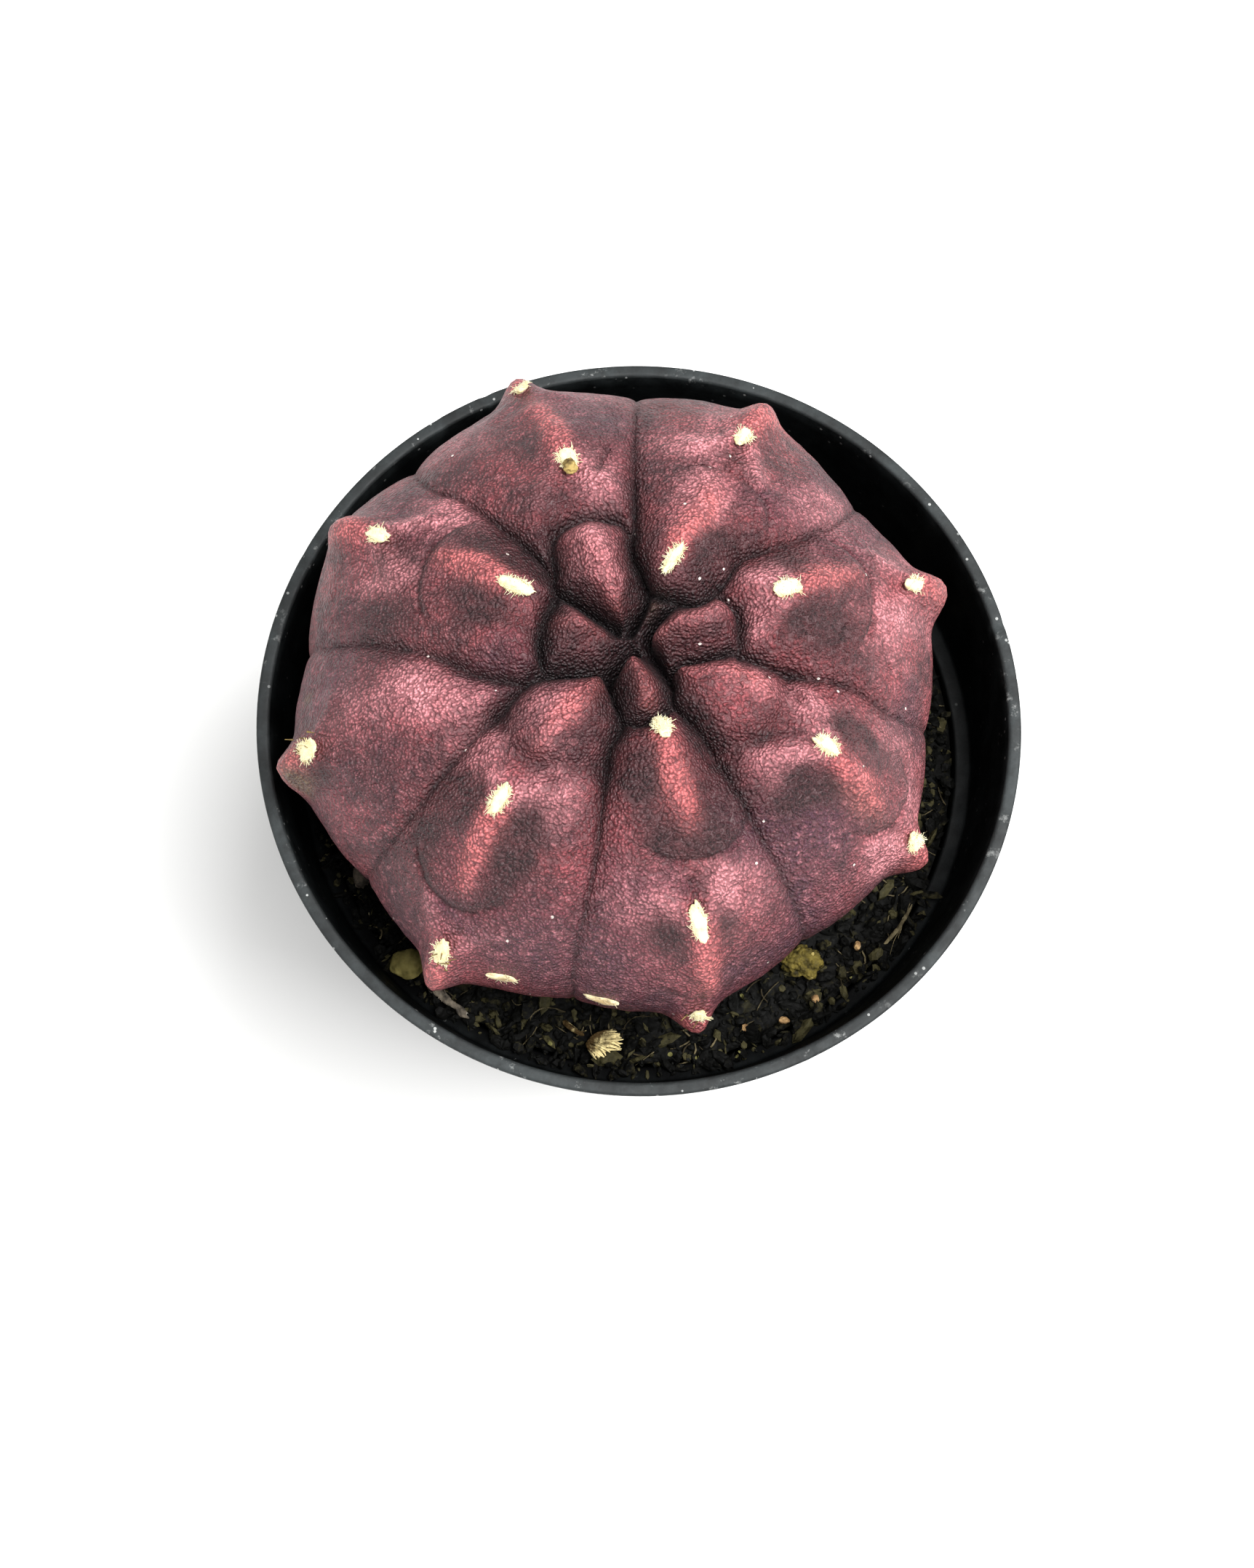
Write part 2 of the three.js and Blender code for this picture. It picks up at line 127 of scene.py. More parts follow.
@dataclass
class Surface:
    """A mesh under construction: vertices in millimetres, faces, and point attributes."""

    vertices: np.ndarray
    quads: np.ndarray
    triangles: np.ndarray = field(default_factory=lambda: np.zeros((0, 3), int))
    values: dict[str, np.ndarray] = field(default_factory=dict)

    def joined(self, other: "Surface") -> "Surface":
        """Puts this surface and another one in a single mesh, kept apart as loose shells.

        Args:
            other: the surface to add.

        Returns:
            Both, with the attributes that both have.
        """
        shift = len(self.vertices)
        values = {
            name: np.concatenate([mine, other.values[name]])
            for name, mine in self.values.items()
            if name in other.values
        }
        return Surface(
            np.concatenate([self.vertices, other.vertices]),
            np.concatenate([self.quads, other.quads + shift]),
            np.concatenate([self.triangles, other.triangles + shift]),
            values,
        )

    def piece(self, name: str, material: bpy.types.Material, smooth: bool = True) -> bpy.types.Object:
        """Puts the surface into a new object at the origin.

        Args:
            name: the object's name.
            material: its finish.
            smooth: whether faces are shaded smoothly.

        Returns:
            The new object, linked to the scene.
        """
        mesh = bpy.data.meshes.new(name)
        corners = np.concatenate([self.quads.ravel(), self.triangles.ravel()])
        sizes = np.concatenate([np.full(len(self.quads), 4), np.full(len(self.triangles), 3)])
        starts = np.concatenate([[0], np.cumsum(sizes)[:-1]])
        mesh.vertices.add(len(self.vertices))
        mesh.vertices.foreach_set("co", (self.vertices * MM).astype(np.float32).ravel())
        mesh.loops.add(len(corners))
        mesh.loops.foreach_set("vertex_index", corners.astype(np.int32))
        mesh.polygons.add(len(sizes))
        mesh.polygons.foreach_set("loop_start", starts.astype(np.int32))
        mesh.polygons.foreach_set("use_smooth", np.full(len(sizes), smooth))
        mesh.update(calc_edges=True)
        mesh.validate()
        for key, value in self.values.items():
            layer = mesh.attributes.new(key, "FLOAT", "POINT")
            layer.data.foreach_set("value", value.astype(np.float32))
        mesh.materials.append(material)
        piece = bpy.data.objects.new(name, mesh)
        bpy.context.scene.collection.objects.link(piece)
        return piece


def ring_quads(rows: int, columns: int) -> np.ndarray:
    """Faces between closed rings numbered row after row, first ring on top, turning anticlockwise.

    Args:
        rows: how many rings there are.
        columns: how many vertices each ring has.

    Returns:
        One row of four vertex numbers for each face, facing outwards.
    """
    row, column = np.meshgrid(np.arange(rows - 1), np.arange(columns), indexing="ij")
    here = row * columns + column
    beside = row * columns + (column + 1) % columns
    return np.stack([here, here + columns, beside + columns, beside], axis=-1).reshape(-1, 4)


def closed_rings(rings: np.ndarray, first: np.ndarray, last: np.ndarray) -> Surface:
    """Closes a stack of rings with a pole at each end.

    Args:
        rings: an array of rings by vertices by 3, first ring on top, turning anticlockwise.
        first: the pole above the first ring.
        last: the pole below the last ring.

    Returns:
        The closed surface.
    """
    rows, columns = rings.shape[:2]
    count = rows * columns
    i = np.arange(columns)
    after = (i + 1) % columns
    top = np.stack([np.full(columns, count), i, after], axis=-1)
    base = (rows - 1) * columns
    bottom = np.stack([base + i, np.full(columns, count + 1), base + after], axis=-1)
    vertices = np.concatenate([rings.reshape(-1, 3), first[None], last[None]])
    return Surface(vertices, ring_quads(rows, columns), np.concatenate([top, bottom]))


def turned_rings(outline: np.ndarray, columns: int) -> np.ndarray:
    """Carries an outline of radius and height round the Z axis.

    Args:
        outline: rows of radius and height.
        columns: steps round the axis.

    Returns:
        Rings by vertices by 3.
    """
    turn = np.arange(columns) / columns * 2.0 * np.pi
    x = outline[:, :1] * np.cos(turn)
    y = outline[:, :1] * np.sin(turn)
    return np.stack([x, y, np.broadcast_to(outline[:, 1:2], x.shape)], axis=-1)


def strand(path: np.ndarray, radius: np.ndarray, sides: int, flat: float = 1.0) -> Surface:
    """A closed tube along a path, its section turned with the path and its ends drawn to a point.

    Args:
        path: the points of its centreline.
        radius: its radius at each point.
        sides: vertices round the section.
        flat: the section's height as a share of its width.

    Returns:
        The tube.
    """
    ahead = np.gradient(path, axis=0)
    ahead /= np.linalg.norm(ahead, axis=1, keepdims=True) + 1e-12
    side = np.cross(ahead, np.array([0.0, 0.0, 1.0]))
    weak = np.linalg.norm(side, axis=1) < 1e-3
    side[weak] = np.cross(ahead[weak], np.array([1.0, 0.0, 0.0]))
    side /= np.linalg.norm(side, axis=1, keepdims=True)
    above = np.cross(side, ahead)
    turn = np.arange(sides) / sides * 2.0 * np.pi
    wide = radius[:, None, None] * np.cos(turn)[None, :, None] * side[:, None]
    high = flat * radius[:, None, None] * np.sin(turn)[None, :, None] * above[:, None]
    rings = path[:, None] + wide - high
    return closed_rings(rings, path[0], path[-1])


def lump(size: np.ndarray, roughness: float, cell: float, seed: int, rows: int = 14) -> Surface:
    """An uneven ball: a sphere stretched to size whose radius is pushed about by noise.

    Args:
        size: full size along X, Y and Z.
        roughness: how far the noise moves the surface, as a share of the radius.
        cell: the noise's cell, as a share of the radius.
        seed: picks the noise.
        rows: rings from pole to pole.

    Returns:
        The lump, centred on the origin.
    """
    polar = np.linspace(0.0, np.pi, rows + 2)
    outline = np.stack([np.sin(polar), np.cos(polar)], axis=-1)
    rings = turned_rings(outline[1:-1], rows * 2)
    surface = closed_rings(rings, np.array([0, 0, 1.0]), np.array([0, 0, -1.0]))
    push = 1.0 + roughness * fractal_noise(surface.vertices, cell, seed)
    surface.vertices = surface.vertices * push[:, None] * np.asarray(size) / 2.0
    return surface


def settle(piece: bpy.types.Object, slot: str, *nodes: str) -> bpy.types.Object:
    """Ties a finished piece to the frame.

    Args:
        piece: the finished object.
        slot: not used.
        nodes: the CAD nodes that it stands for.

    Returns:
        The same object.
    """
    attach(piece, BODY)
    if nodes:
        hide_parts(*nodes)
    LOG.info("%s: %d faces", piece.name, len(piece.data.polygons))
    return piece


def node_box(node: str) -> tuple[np.ndarray, np.ndarray]:
    """The lowest and highest corner of a CAD node, in millimetres."""
    low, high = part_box(node)
    return np.array(low) / MM, np.array(high) / MM


def node_vertices(node: str) -> np.ndarray:
    """The corners of a CAD node's mesh.

    Args:
        node: the node's name.

    Returns:
        One row for each corner, in millimetres.
    """
    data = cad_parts[node].data
    flat = np.zeros(len(data.vertices) * 3, np.float32)
    data.vertices.foreach_get("co", flat)
    return flat.reshape(-1, 3).astype(float) / MM


# ---------------------------------------------------------------- materials

Colour = tuple[float, float, float]


class Shader:
    """Lays out one material's nodes."""

    def __init__(self, name: str) -> None:
        """Starts a material with a Principled shader and Object coordinates.

        Args:
            name: the material's name.
        """
        self.material = bpy.data.materials.new(name)
        self.material.use_nodes = True
        self.tree = self.material.node_tree
        self.tree.nodes.clear()
        self.output = self.tree.nodes.new("ShaderNodeOutputMaterial")
        self.shader = self.tree.nodes.new("ShaderNodeBsdfPrincipled")
        self.tree.links.new(self.shader.outputs[0], self.output.inputs[0])
        self.place = self.tree.nodes.new("ShaderNodeTexCoord").outputs["Object"]

    def link(self, source: bpy.types.NodeSocket, target: str) -> None:
        """Links a socket to one of the shader's inputs."""
        self.tree.links.new(source, self.shader.inputs[target])

    def attribute(self, name: str) -> bpy.types.NodeSocket:
        """Reads a point attribute of the mesh.

        Args:
            name: the attribute's name.

        Returns:
            The attribute's value.
        """
        node = self.tree.nodes.new("ShaderNodeAttribute")
        node.attribute_name = name
        return node.outputs["Fac"]

    def noise(self, scale: float, detail: float = 3.0, rough: float = 0.5) -> bpy.types.NodeSocket:
        """Adds noise over the object.

        Args:
            scale: cells to the metre.
            detail: octaves.
            rough: the strength of each octave against the one before.

        Returns:
            The noise's value, from 0 to 1.
        """
        node = self.tree.nodes.new("ShaderNodeTexNoise")
        node.inputs["Scale"].default_value = scale
        node.inputs["Detail"].default_value = detail
        node.inputs["Roughness"].default_value = rough
        self.tree.links.new(self.place, node.inputs["Vector"])
        return node.outputs["Fac"]

    def ramp(self, source: bpy.types.NodeSocket, low: float, high: float,
             start: float = 0.0, end: float = 1.0) -> bpy.types.NodeSocket:
        """Maps a value from low..high onto start..end, clamped.

        Args:
            source: the value.
            low: what becomes start.
            high: what becomes end.
            start: the result at low.
            end: the result at high.

        Returns:
            The mapped value.
        """
        node = self.tree.nodes.new("ShaderNodeMapRange")
        for key, value in zip(("From Min", "From Max", "To Min", "To Max"), (low, high, start, end)):
            node.inputs[key].default_value = value
        self.tree.links.new(source, node.inputs["Value"])
        return node.outputs["Result"]

    def maths(self, operation: str, first: bpy.types.NodeSocket,
              second: bpy.types.NodeSocket | float) -> bpy.types.NodeSocket:
        """Adds one step of arithmetic, clamped to 0..1.

        Args:
            operation: the Math node's operation.
            first: the first value.
            second: the second value, linked or plain.

        Returns:
            The result.
        """
        node = self.tree.nodes.new("ShaderNodeMath")
        node.operation = operation
        node.use_clamp = True
        self.tree.links.new(first, node.inputs[0])
        if isinstance(second, bpy.types.NodeSocket):
            self.tree.links.new(second, node.inputs[1])
        else:
            node.inputs[1].default_value = second
        return node.outputs[0]

    def mix(self, factor: bpy.types.NodeSocket, first: bpy.types.NodeSocket | Colour,
            second: bpy.types.NodeSocket | Colour) -> bpy.types.NodeSocket:
        """Blends two colours by a factor.

        Args:
            factor: 0 for the first colour, 1 for the second.
            first: the first colour, linked or plain.
            second: the second colour, linked or plain.

        Returns:
            The blended colour.
        """
        node = self.tree.nodes.new("ShaderNodeMix")
        node.data_type = "RGBA"
        self.tree.links.new(factor, node.inputs[0])
        for socket, value in ((node.inputs[6], first), (node.inputs[7], second)):
            if isinstance(value, bpy.types.NodeSocket):
                self.tree.links.new(value, socket)
            else:
                socket.default_value = (*value, 1.0)
        return node.outputs[2]

    def group(self, tree: bpy.types.NodeTree, **values: float) -> bpy.types.ShaderNodeGroup:
        """Places a shared node group with its own values.

        Args:
            tree: the group.
            values: its input values, by the inputs' names in lower case.

        Returns:
            The group's node.
        """
        node = self.tree.nodes.new("ShaderNodeGroup")
        node.node_tree = tree
        self.tree.links.new(self.place, node.inputs["Place"])
        for key, value in values.items():
            node.inputs[key.replace("_", " ").title()].default_value = value
        return node

    def bump(self, height: bpy.types.NodeSocket, depth: float, strength: float = 1.0,
             normal: bpy.types.NodeSocket | None = None) -> bpy.types.NodeSocket:
        """Adds a bump.

        Args:
            height: the relief, from 0 to 1.
            depth: its depth in metres.
            strength: how far it turns the normal.
            normal: a bump that this one adds to.

        Returns:
            The bumped normal.
        """
        node = self.tree.nodes.new("ShaderNodeBump")
        node.inputs["Strength"].default_value = strength
        node.inputs["Distance"].default_value = depth
        self.tree.links.new(height, node.inputs["Height"])
        if normal is not None:
            self.tree.links.new(normal, node.inputs["Normal"])
        return node.outputs["Normal"]


def start_group(name: str, inputs: dict[str, float], outputs: tuple[str, ...]) -> bpy.types.NodeTree:
    """Starts a shader node group with a Place input, number inputs and number outputs.

    Args:
        name: the group's name.
        inputs: names and default values of its number inputs.
        outputs: names of its outputs.

    Returns:
        The group, with its input and output nodes named In and Out.
    """
    tree = bpy.data.node_groups.new(name, "ShaderNodeTree")
    tree.interface.new_socket("Place", in_out="INPUT", socket_type="NodeSocketVector")
    for key, value in inputs.items():
        socket = tree.interface.new_socket(key, in_out="INPUT", socket_type="NodeSocketFloat")
        socket.default_value = value
    for key in outputs:
        tree.interface.new_socket(key, in_out="OUTPUT", socket_type="NodeSocketFloat")
    tree.nodes.new("NodeGroupInput").name = "In"
    tree.nodes.new("NodeGroupOutput").name = "Out"
    return tree


def speckle_group() -> bpy.types.NodeTree:
    """Sparse round specks: the distance to scattered points, cut off close to them and thinned.

    Returns:
        A group with inputs Scale, Size and Share, and the output Specks.
    """
    tree = start_group("specks", {"Scale": 300.0, "Size": 0.1, "Share": 0.3}, ("Specks",))
    nodes, links = tree.nodes, tree.links
    given, result = nodes["In"], nodes["Out"]
    cells = nodes.new("ShaderNodeTexVoronoi")
    links.new(given.outputs["Place"], cells.inputs["Vector"])
    links.new(given.outputs["Scale"], cells.inputs["Scale"])
    near = nodes.new("ShaderNodeMath")
    near.operation = "LESS_THAN"
    links.new(cells.outputs["Distance"], near.inputs[0])
    links.new(given.outputs["Size"], near.inputs[1])
    split = nodes.new("ShaderNodeSeparateColor")
    links.new(cells.outputs["Color"], split.inputs[0])
    chosen = nodes.new("ShaderNodeMath")
    chosen.operation = "LESS_THAN"
    links.new(split.outputs[0], chosen.inputs[0])
    links.new(given.outputs["Share"], chosen.inputs[1])
    both = nodes.new("ShaderNodeMath")
    both.operation = "MULTIPLY"
    links.new(near.outputs[0], both.inputs[0])
    links.new(chosen.outputs[0], both.inputs[1])
    links.new(both.outputs[0], result.inputs["Specks"])
    return tree


def grain_group() -> bpy.types.NodeTree:
    """Rounded grains packed side by side: high in the middle of each cell, low between cells.

    Returns:
        A group with inputs Scale and Roughen, and the output Grain from 0 to 1.
    """
    tree = start_group("grain", {"Scale": 1800.0, "Roughen": 0.0003}, ("Grain",))
    nodes, links = tree.nodes, tree.links
    given, result = nodes["In"], nodes["Out"]
    drift = nodes.new("ShaderNodeTexNoise")
    drift.inputs["Scale"].default_value = 700.0
    links.new(given.outputs["Place"], drift.inputs["Vector"])
    shift = nodes.new("ShaderNodeVectorMath")
    shift.operation = "SCALE"
    links.new(drift.outputs["Color"], shift.inputs[0])
    links.new(given.outputs["Roughen"], shift.inputs["Scale"])
    moved = nodes.new("ShaderNodeVectorMath")
    links.new(given.outputs["Place"], moved.inputs[0])
    links.new(shift.outputs[0], moved.inputs[1])
    cells = nodes.new("ShaderNodeTexVoronoi")
    cells.feature = "SMOOTH_F1"
    cells.inputs["Smoothness"].default_value = 0.35
    links.new(moved.outputs[0], cells.inputs["Vector"])
    links.new(given.outputs["Scale"], cells.inputs["Scale"])
    turned_up = nodes.new("ShaderNodeMapRange")
    turned_up.inputs["From Max"].default_value = 0.75
    turned_up.inputs["To Min"].default_value = 1.0
    turned_up.inputs["To Max"].default_value = 0.0
    links.new(cells.outputs["Distance"], turned_up.inputs["Value"])
    links.new(turned_up.outputs["Result"], result.inputs["Grain"])
    return tree


@dataclass(frozen=True)
class SkinFinish:
    """Living cactus skin: mauve, with pink blushes and painted highlights, red keels, dark patches, and
    painted shade by the furrows and in the clefts.
    """

    base: Colour = (0.355, 0.071, 0.082)
    dusky: Colour = (0.056, 0.017, 0.021)
    plum: Colour = (0.090, 0.029, 0.050)
    # Pink blush, also used as a painted highlight along the young cones' ridges.
    blush: Colour = (0.930, 0.345, 0.380)
    keel: Colour = (0.760, 0.190, 0.190)
    # Dark patches of the skin, also used for painted shade by furrows, valleys and the crown.
    shade: Colour = (0.018, 0.009, 0.010)
    grain_dark: Colour = (0.048, 0.012, 0.015)
    # Near-black painted shade in clefts, partly their own darker colour.
    cleft_pigment_and_shade: Colour = (0.007, 0.003, 0.004)
    cork: Colour = (0.190, 0.125, 0.075)
    speck: Colour = (0.75, 0.66, 0.60)
    grains_to_metre: float = 3400.0

    def material(self, grain: bpy.types.NodeTree, specks: bpy.types.NodeTree) -> bpy.types.Material:
        """Mixes the colours by the skin's attributes and adds papillae and specks.

        Args:
            grain: the group of packed grains, here the papillae.
            specks: the group of sparse specks.

        Returns:
            The skin's material.
        """
        sh = Shader("cactus_skin")
        colour = sh.mix(sh.ramp(sh.noise(170.0, 7.0, 0.72), 0.42, 0.58), self.base, self.dusky)
        clouds = sh.ramp(sh.noise(95.0, 3.0), 0.54, 0.66, 0.0, 0.6)
        colour = sh.mix(sh.maths("ADD", clouds, sh.attribute("plum")), colour, self.plum)
        colour = sh.mix(sh.ramp(sh.noise(1300.0, 6.0, 0.78), 0.50, 0.70, 0.0, 0.52), colour, self.blush)
        # The shade mask carries dark patches and painted shade; the blush mask carries pink and painted
        # highlights.
        for mask, tone, scale, least in (
            ("blush", self.blush, 330.0, 0.35),
            ("shade", self.shade, 400.0, 0.65),
            ("keel", self.keel, 620.0, 0.5),
        ):
            broken = sh.ramp(sh.noise(scale, 6.0, 0.72), 0.36, 0.56, least)
            colour = sh.mix(sh.maths("MULTIPLY", sh.attribute(mask), broken), colour, tone)
        colour = sh.mix(sh.attribute("cork"), colour, self.cork)
        papillae = sh.group(grain, scale=self.grains_to_metre, roughen=0.0006).outputs["Grain"]
        colour = sh.mix(sh.ramp(papillae, 0.18, 0.70, 0.72, 0.0), colour, self.grain_dark)
        colour = sh.mix(sh.ramp(sh.noise(800.0, 6.0, 0.75), 0.51, 0.65, 0.0, 0.56), colour, self.grain_dark)
        # Painted shade: clefts, furrows, notches and edge creases go near black, partly their own darker
        # colour.
        colour = sh.mix(sh.attribute("cleft_pigment_and_shade"), colour, self.cleft_pigment_and_shade)
        dots = sh.group(specks, scale=480.0, size=0.065, share=0.32).outputs["Specks"]
        colour = sh.mix(dots, colour, self.speck)
        sh.link(colour, "Base Color")
        sh.link(sh.ramp(sh.noise(900.0, 3.0), 0.3, 0.7, 0.42, 0.58), "Roughness")
        fine = sh.bump(papillae, 0.00034, 0.95)
        sh.link(sh.bump(sh.noise(1500.0, 5.0, 0.6), 0.00024, 0.9, fine), "Normal")
        sh.shader.inputs["Specular IOR Level"].default_value = 0.42
        sh.shader.inputs["Subsurface Weight"].default_value = 0.08
        sh.shader.inputs["Subsurface Radius"].default_value = (1.0, 0.35, 0.3)
        sh.shader.inputs["Subsurface Scale"].default_value = 0.0012
        return sh.material


@dataclass(frozen=True)
class WoolFinish:
    """Areole wool: cream fibres, with a tan tinge deep down."""

    name: str = "areole_wool"
    tip: Colour = (0.93, 0.90, 0.62)
    root: Colour = (0.60, 0.47, 0.20)

    def material(self) -> bpy.types.Material:
        """Mixes root and tip colour by the fibre's height and some noise.

        Returns:
            The wool's material.
        """
        sh = Shader(self.name)
        uneven = sh.ramp(sh.noise(1500.0, 3.0), 0.25, 0.6, 0.35)
        height = sh.maths("MULTIPLY", sh.attribute("height"), uneven)
        sh.link(sh.mix(height, self.root, self.tip), "Base Color")
        sh.link(sh.ramp(sh.noise(4000.0), 0.3, 0.7, 0.75, 0.95), "Roughness")
        sh.shader.inputs["Sheen Weight"].default_value = 0.25
        sh.shader.inputs["Specular IOR Level"].default_value = 0.2
        return sh.material


@dataclass(frozen=True)
class PlasticFinish:
    """Black moulded pot plastic, dusty and scuffed pale along its rim, darkened inside as painted shade."""

    base: Colour = (0.0062, 0.0067, 0.0068)
    # Near-black painted shade for the plastic within the rim's inner radius.
    inside: Colour = (0.0006, 0.0006, 0.0007)
    scuffed: Colour = (0.030, 0.036, 0.037)
    dust: Colour = (0.36, 0.37, 0.36)

    def material(self, specks: bpy.types.NodeTree) -> bpy.types.Material:
        """Darkens it where the inside attribute is set, as painted shade, scuffs where the wear attribute
        and noise agree, and adds dust specks and fine scratches.

        Args:
            specks: the group of sparse specks.

        Returns:
            The plastic's material.
        """
        sh = Shader("pot_plastic")
        wear = sh.attribute("wear")
        patchy = sh.maths("MULTIPLY", wear, sh.ramp(sh.noise(330.0, 7.0, 0.74), 0.38, 0.62, 0.3))
        # Painted shade: near black where the inside attribute is set.
        colour = sh.mix(sh.attribute("inside"), self.base, self.inside)
        colour = sh.mix(patchy, colour, self.scuffed)
        chalky = sh.ramp(sh.noise(700.0, 6.0, 0.7), 0.60, 0.70, 0.0, 0.5)
        colour = sh.mix(sh.maths("MULTIPLY", sh.ramp(wear, 0.35, 0.8), chalky), colour, self.dust)
        dots = sh.group(specks, scale=1050.0, size=0.15, share=0.3).outputs["Specks"]
        worn_dots = sh.maths("MULTIPLY", dots, sh.ramp(wear, 0.1, 0.8, 0.0, 0.9))
        colour = sh.mix(worn_dots, colour, self.dust)
        sh.link(colour, "Base Color")
        sh.link(sh.ramp(sh.noise(600.0, 5.0, 0.6), 0.3, 0.7, 0.50, 0.68), "Roughness")
        sh.link(sh.ramp(sh.attribute("inside"), 0.0, 1.0, 0.26, 0.03), "Specular IOR Level")
        scratches = sh.tree.nodes.new("ShaderNodeTexNoise")
        scratches.inputs["Scale"].default_value = 1400.0
        scratches.inputs["Detail"].default_value = 4.0
        stretch = sh.tree.nodes.new("ShaderNodeMapping")
        stretch.inputs["Scale"].default_value = (1.0, 1.0, 6.0)
        sh.tree.links.new(sh.place, stretch.inputs["Vector"])
        sh.tree.links.new(stretch.outputs[0], scratches.inputs["Vector"])
        sh.link(sh.bump(scratches.outputs["Fac"], 0.00006, 0.6), "Normal")
        return sh.material


@dataclass(frozen=True)
class EarthFinish:
    """A crumbly finish for soil, bark, moss and dry litter: two tones, grain and specks."""

    name: str
    low: Colour
    high: Colour
    fleck: Colour
    cells_to_metre: float = 900.0
    fleck_share: float = 0.1
    roughness: float = 0.85
    relief: float = 0.0002
    shine: float = 0.15

    def material(self, grain: bpy.types.NodeTree, specks: bpy.types.NodeTree) -> bpy.types.Material:
        """Blends the tones by noise and by the piece's own tone attribute, with grain as bump.

        Args:
            grain: the group of packed grains.
            specks: the group of sparse specks.

        Returns:
            The material.
        """
        sh = Shader(self.name)
        uneven = sh.ramp(sh.noise(self.cells_to_metre, 6.0, 0.65), 0.42, 0.72)
        tone = sh.maths("ADD", uneven, sh.attribute("tone"))
        colour = sh.mix(tone, self.low, self.high)
        flecks = sh.group(specks, scale=self.cells_to_metre, size=0.22, share=self.fleck_share)
        sh.link(sh.mix(flecks.outputs["Specks"], colour, self.fleck), "Base Color")
        dull = sh.noise(self.cells_to_metre * 2.0)
        sh.link(sh.ramp(dull, 0.3, 0.7, self.roughness - 0.2, self.roughness), "Roughness")
        bits = sh.group(grain, scale=self.cells_to_metre * 2.2, roughen=0.0006).outputs["Grain"]
        sh.link(sh.bump(bits, self.relief, 0.8), "Normal")
        sh.shader.inputs["Specular IOR Level"].default_value = self.shine
        return sh.material


# ---------------------------------------------------------------- the cactus

@dataclass(frozen=True)
class Tubercle:
    """One tubercle of a rib, placed by its areole."""

    bearing: float
    distance: float
    keel: float = 0.0
    edge: float = 0.0
    edge_radius: float = 6.0
    shade: float = 0.0
    wings: float = 0.0
    lean: float = 0.0
    tip: bool = False


@dataclass(frozen=True)
class Blotch:
    """A soft-edged patch of one colour mask on the skin."""

    bearing: float
    distance: float
    along: float
    across: float
    strength: float


class Mask(Enum):
    """The colour masks that the skin's finish reads."""

    # Blush includes painted highlights along the young cones' ridges.
    BLUSH = "blush"
    KEEL = "keel"
    # Shade holds the skin's dark patches and painted shade by furrows, valleys and the crown.
    SHADE = "shade"
    CLEFT_PIGMENT_AND_SHADE = "cleft_pigment_and_shade"
    # Painted shade in clefts, furrows, notches and edge creases, partly their darker colour.
    CORK = "cork"
    PLUM = "plum"


Route = tuple[tuple[float, float], ...]


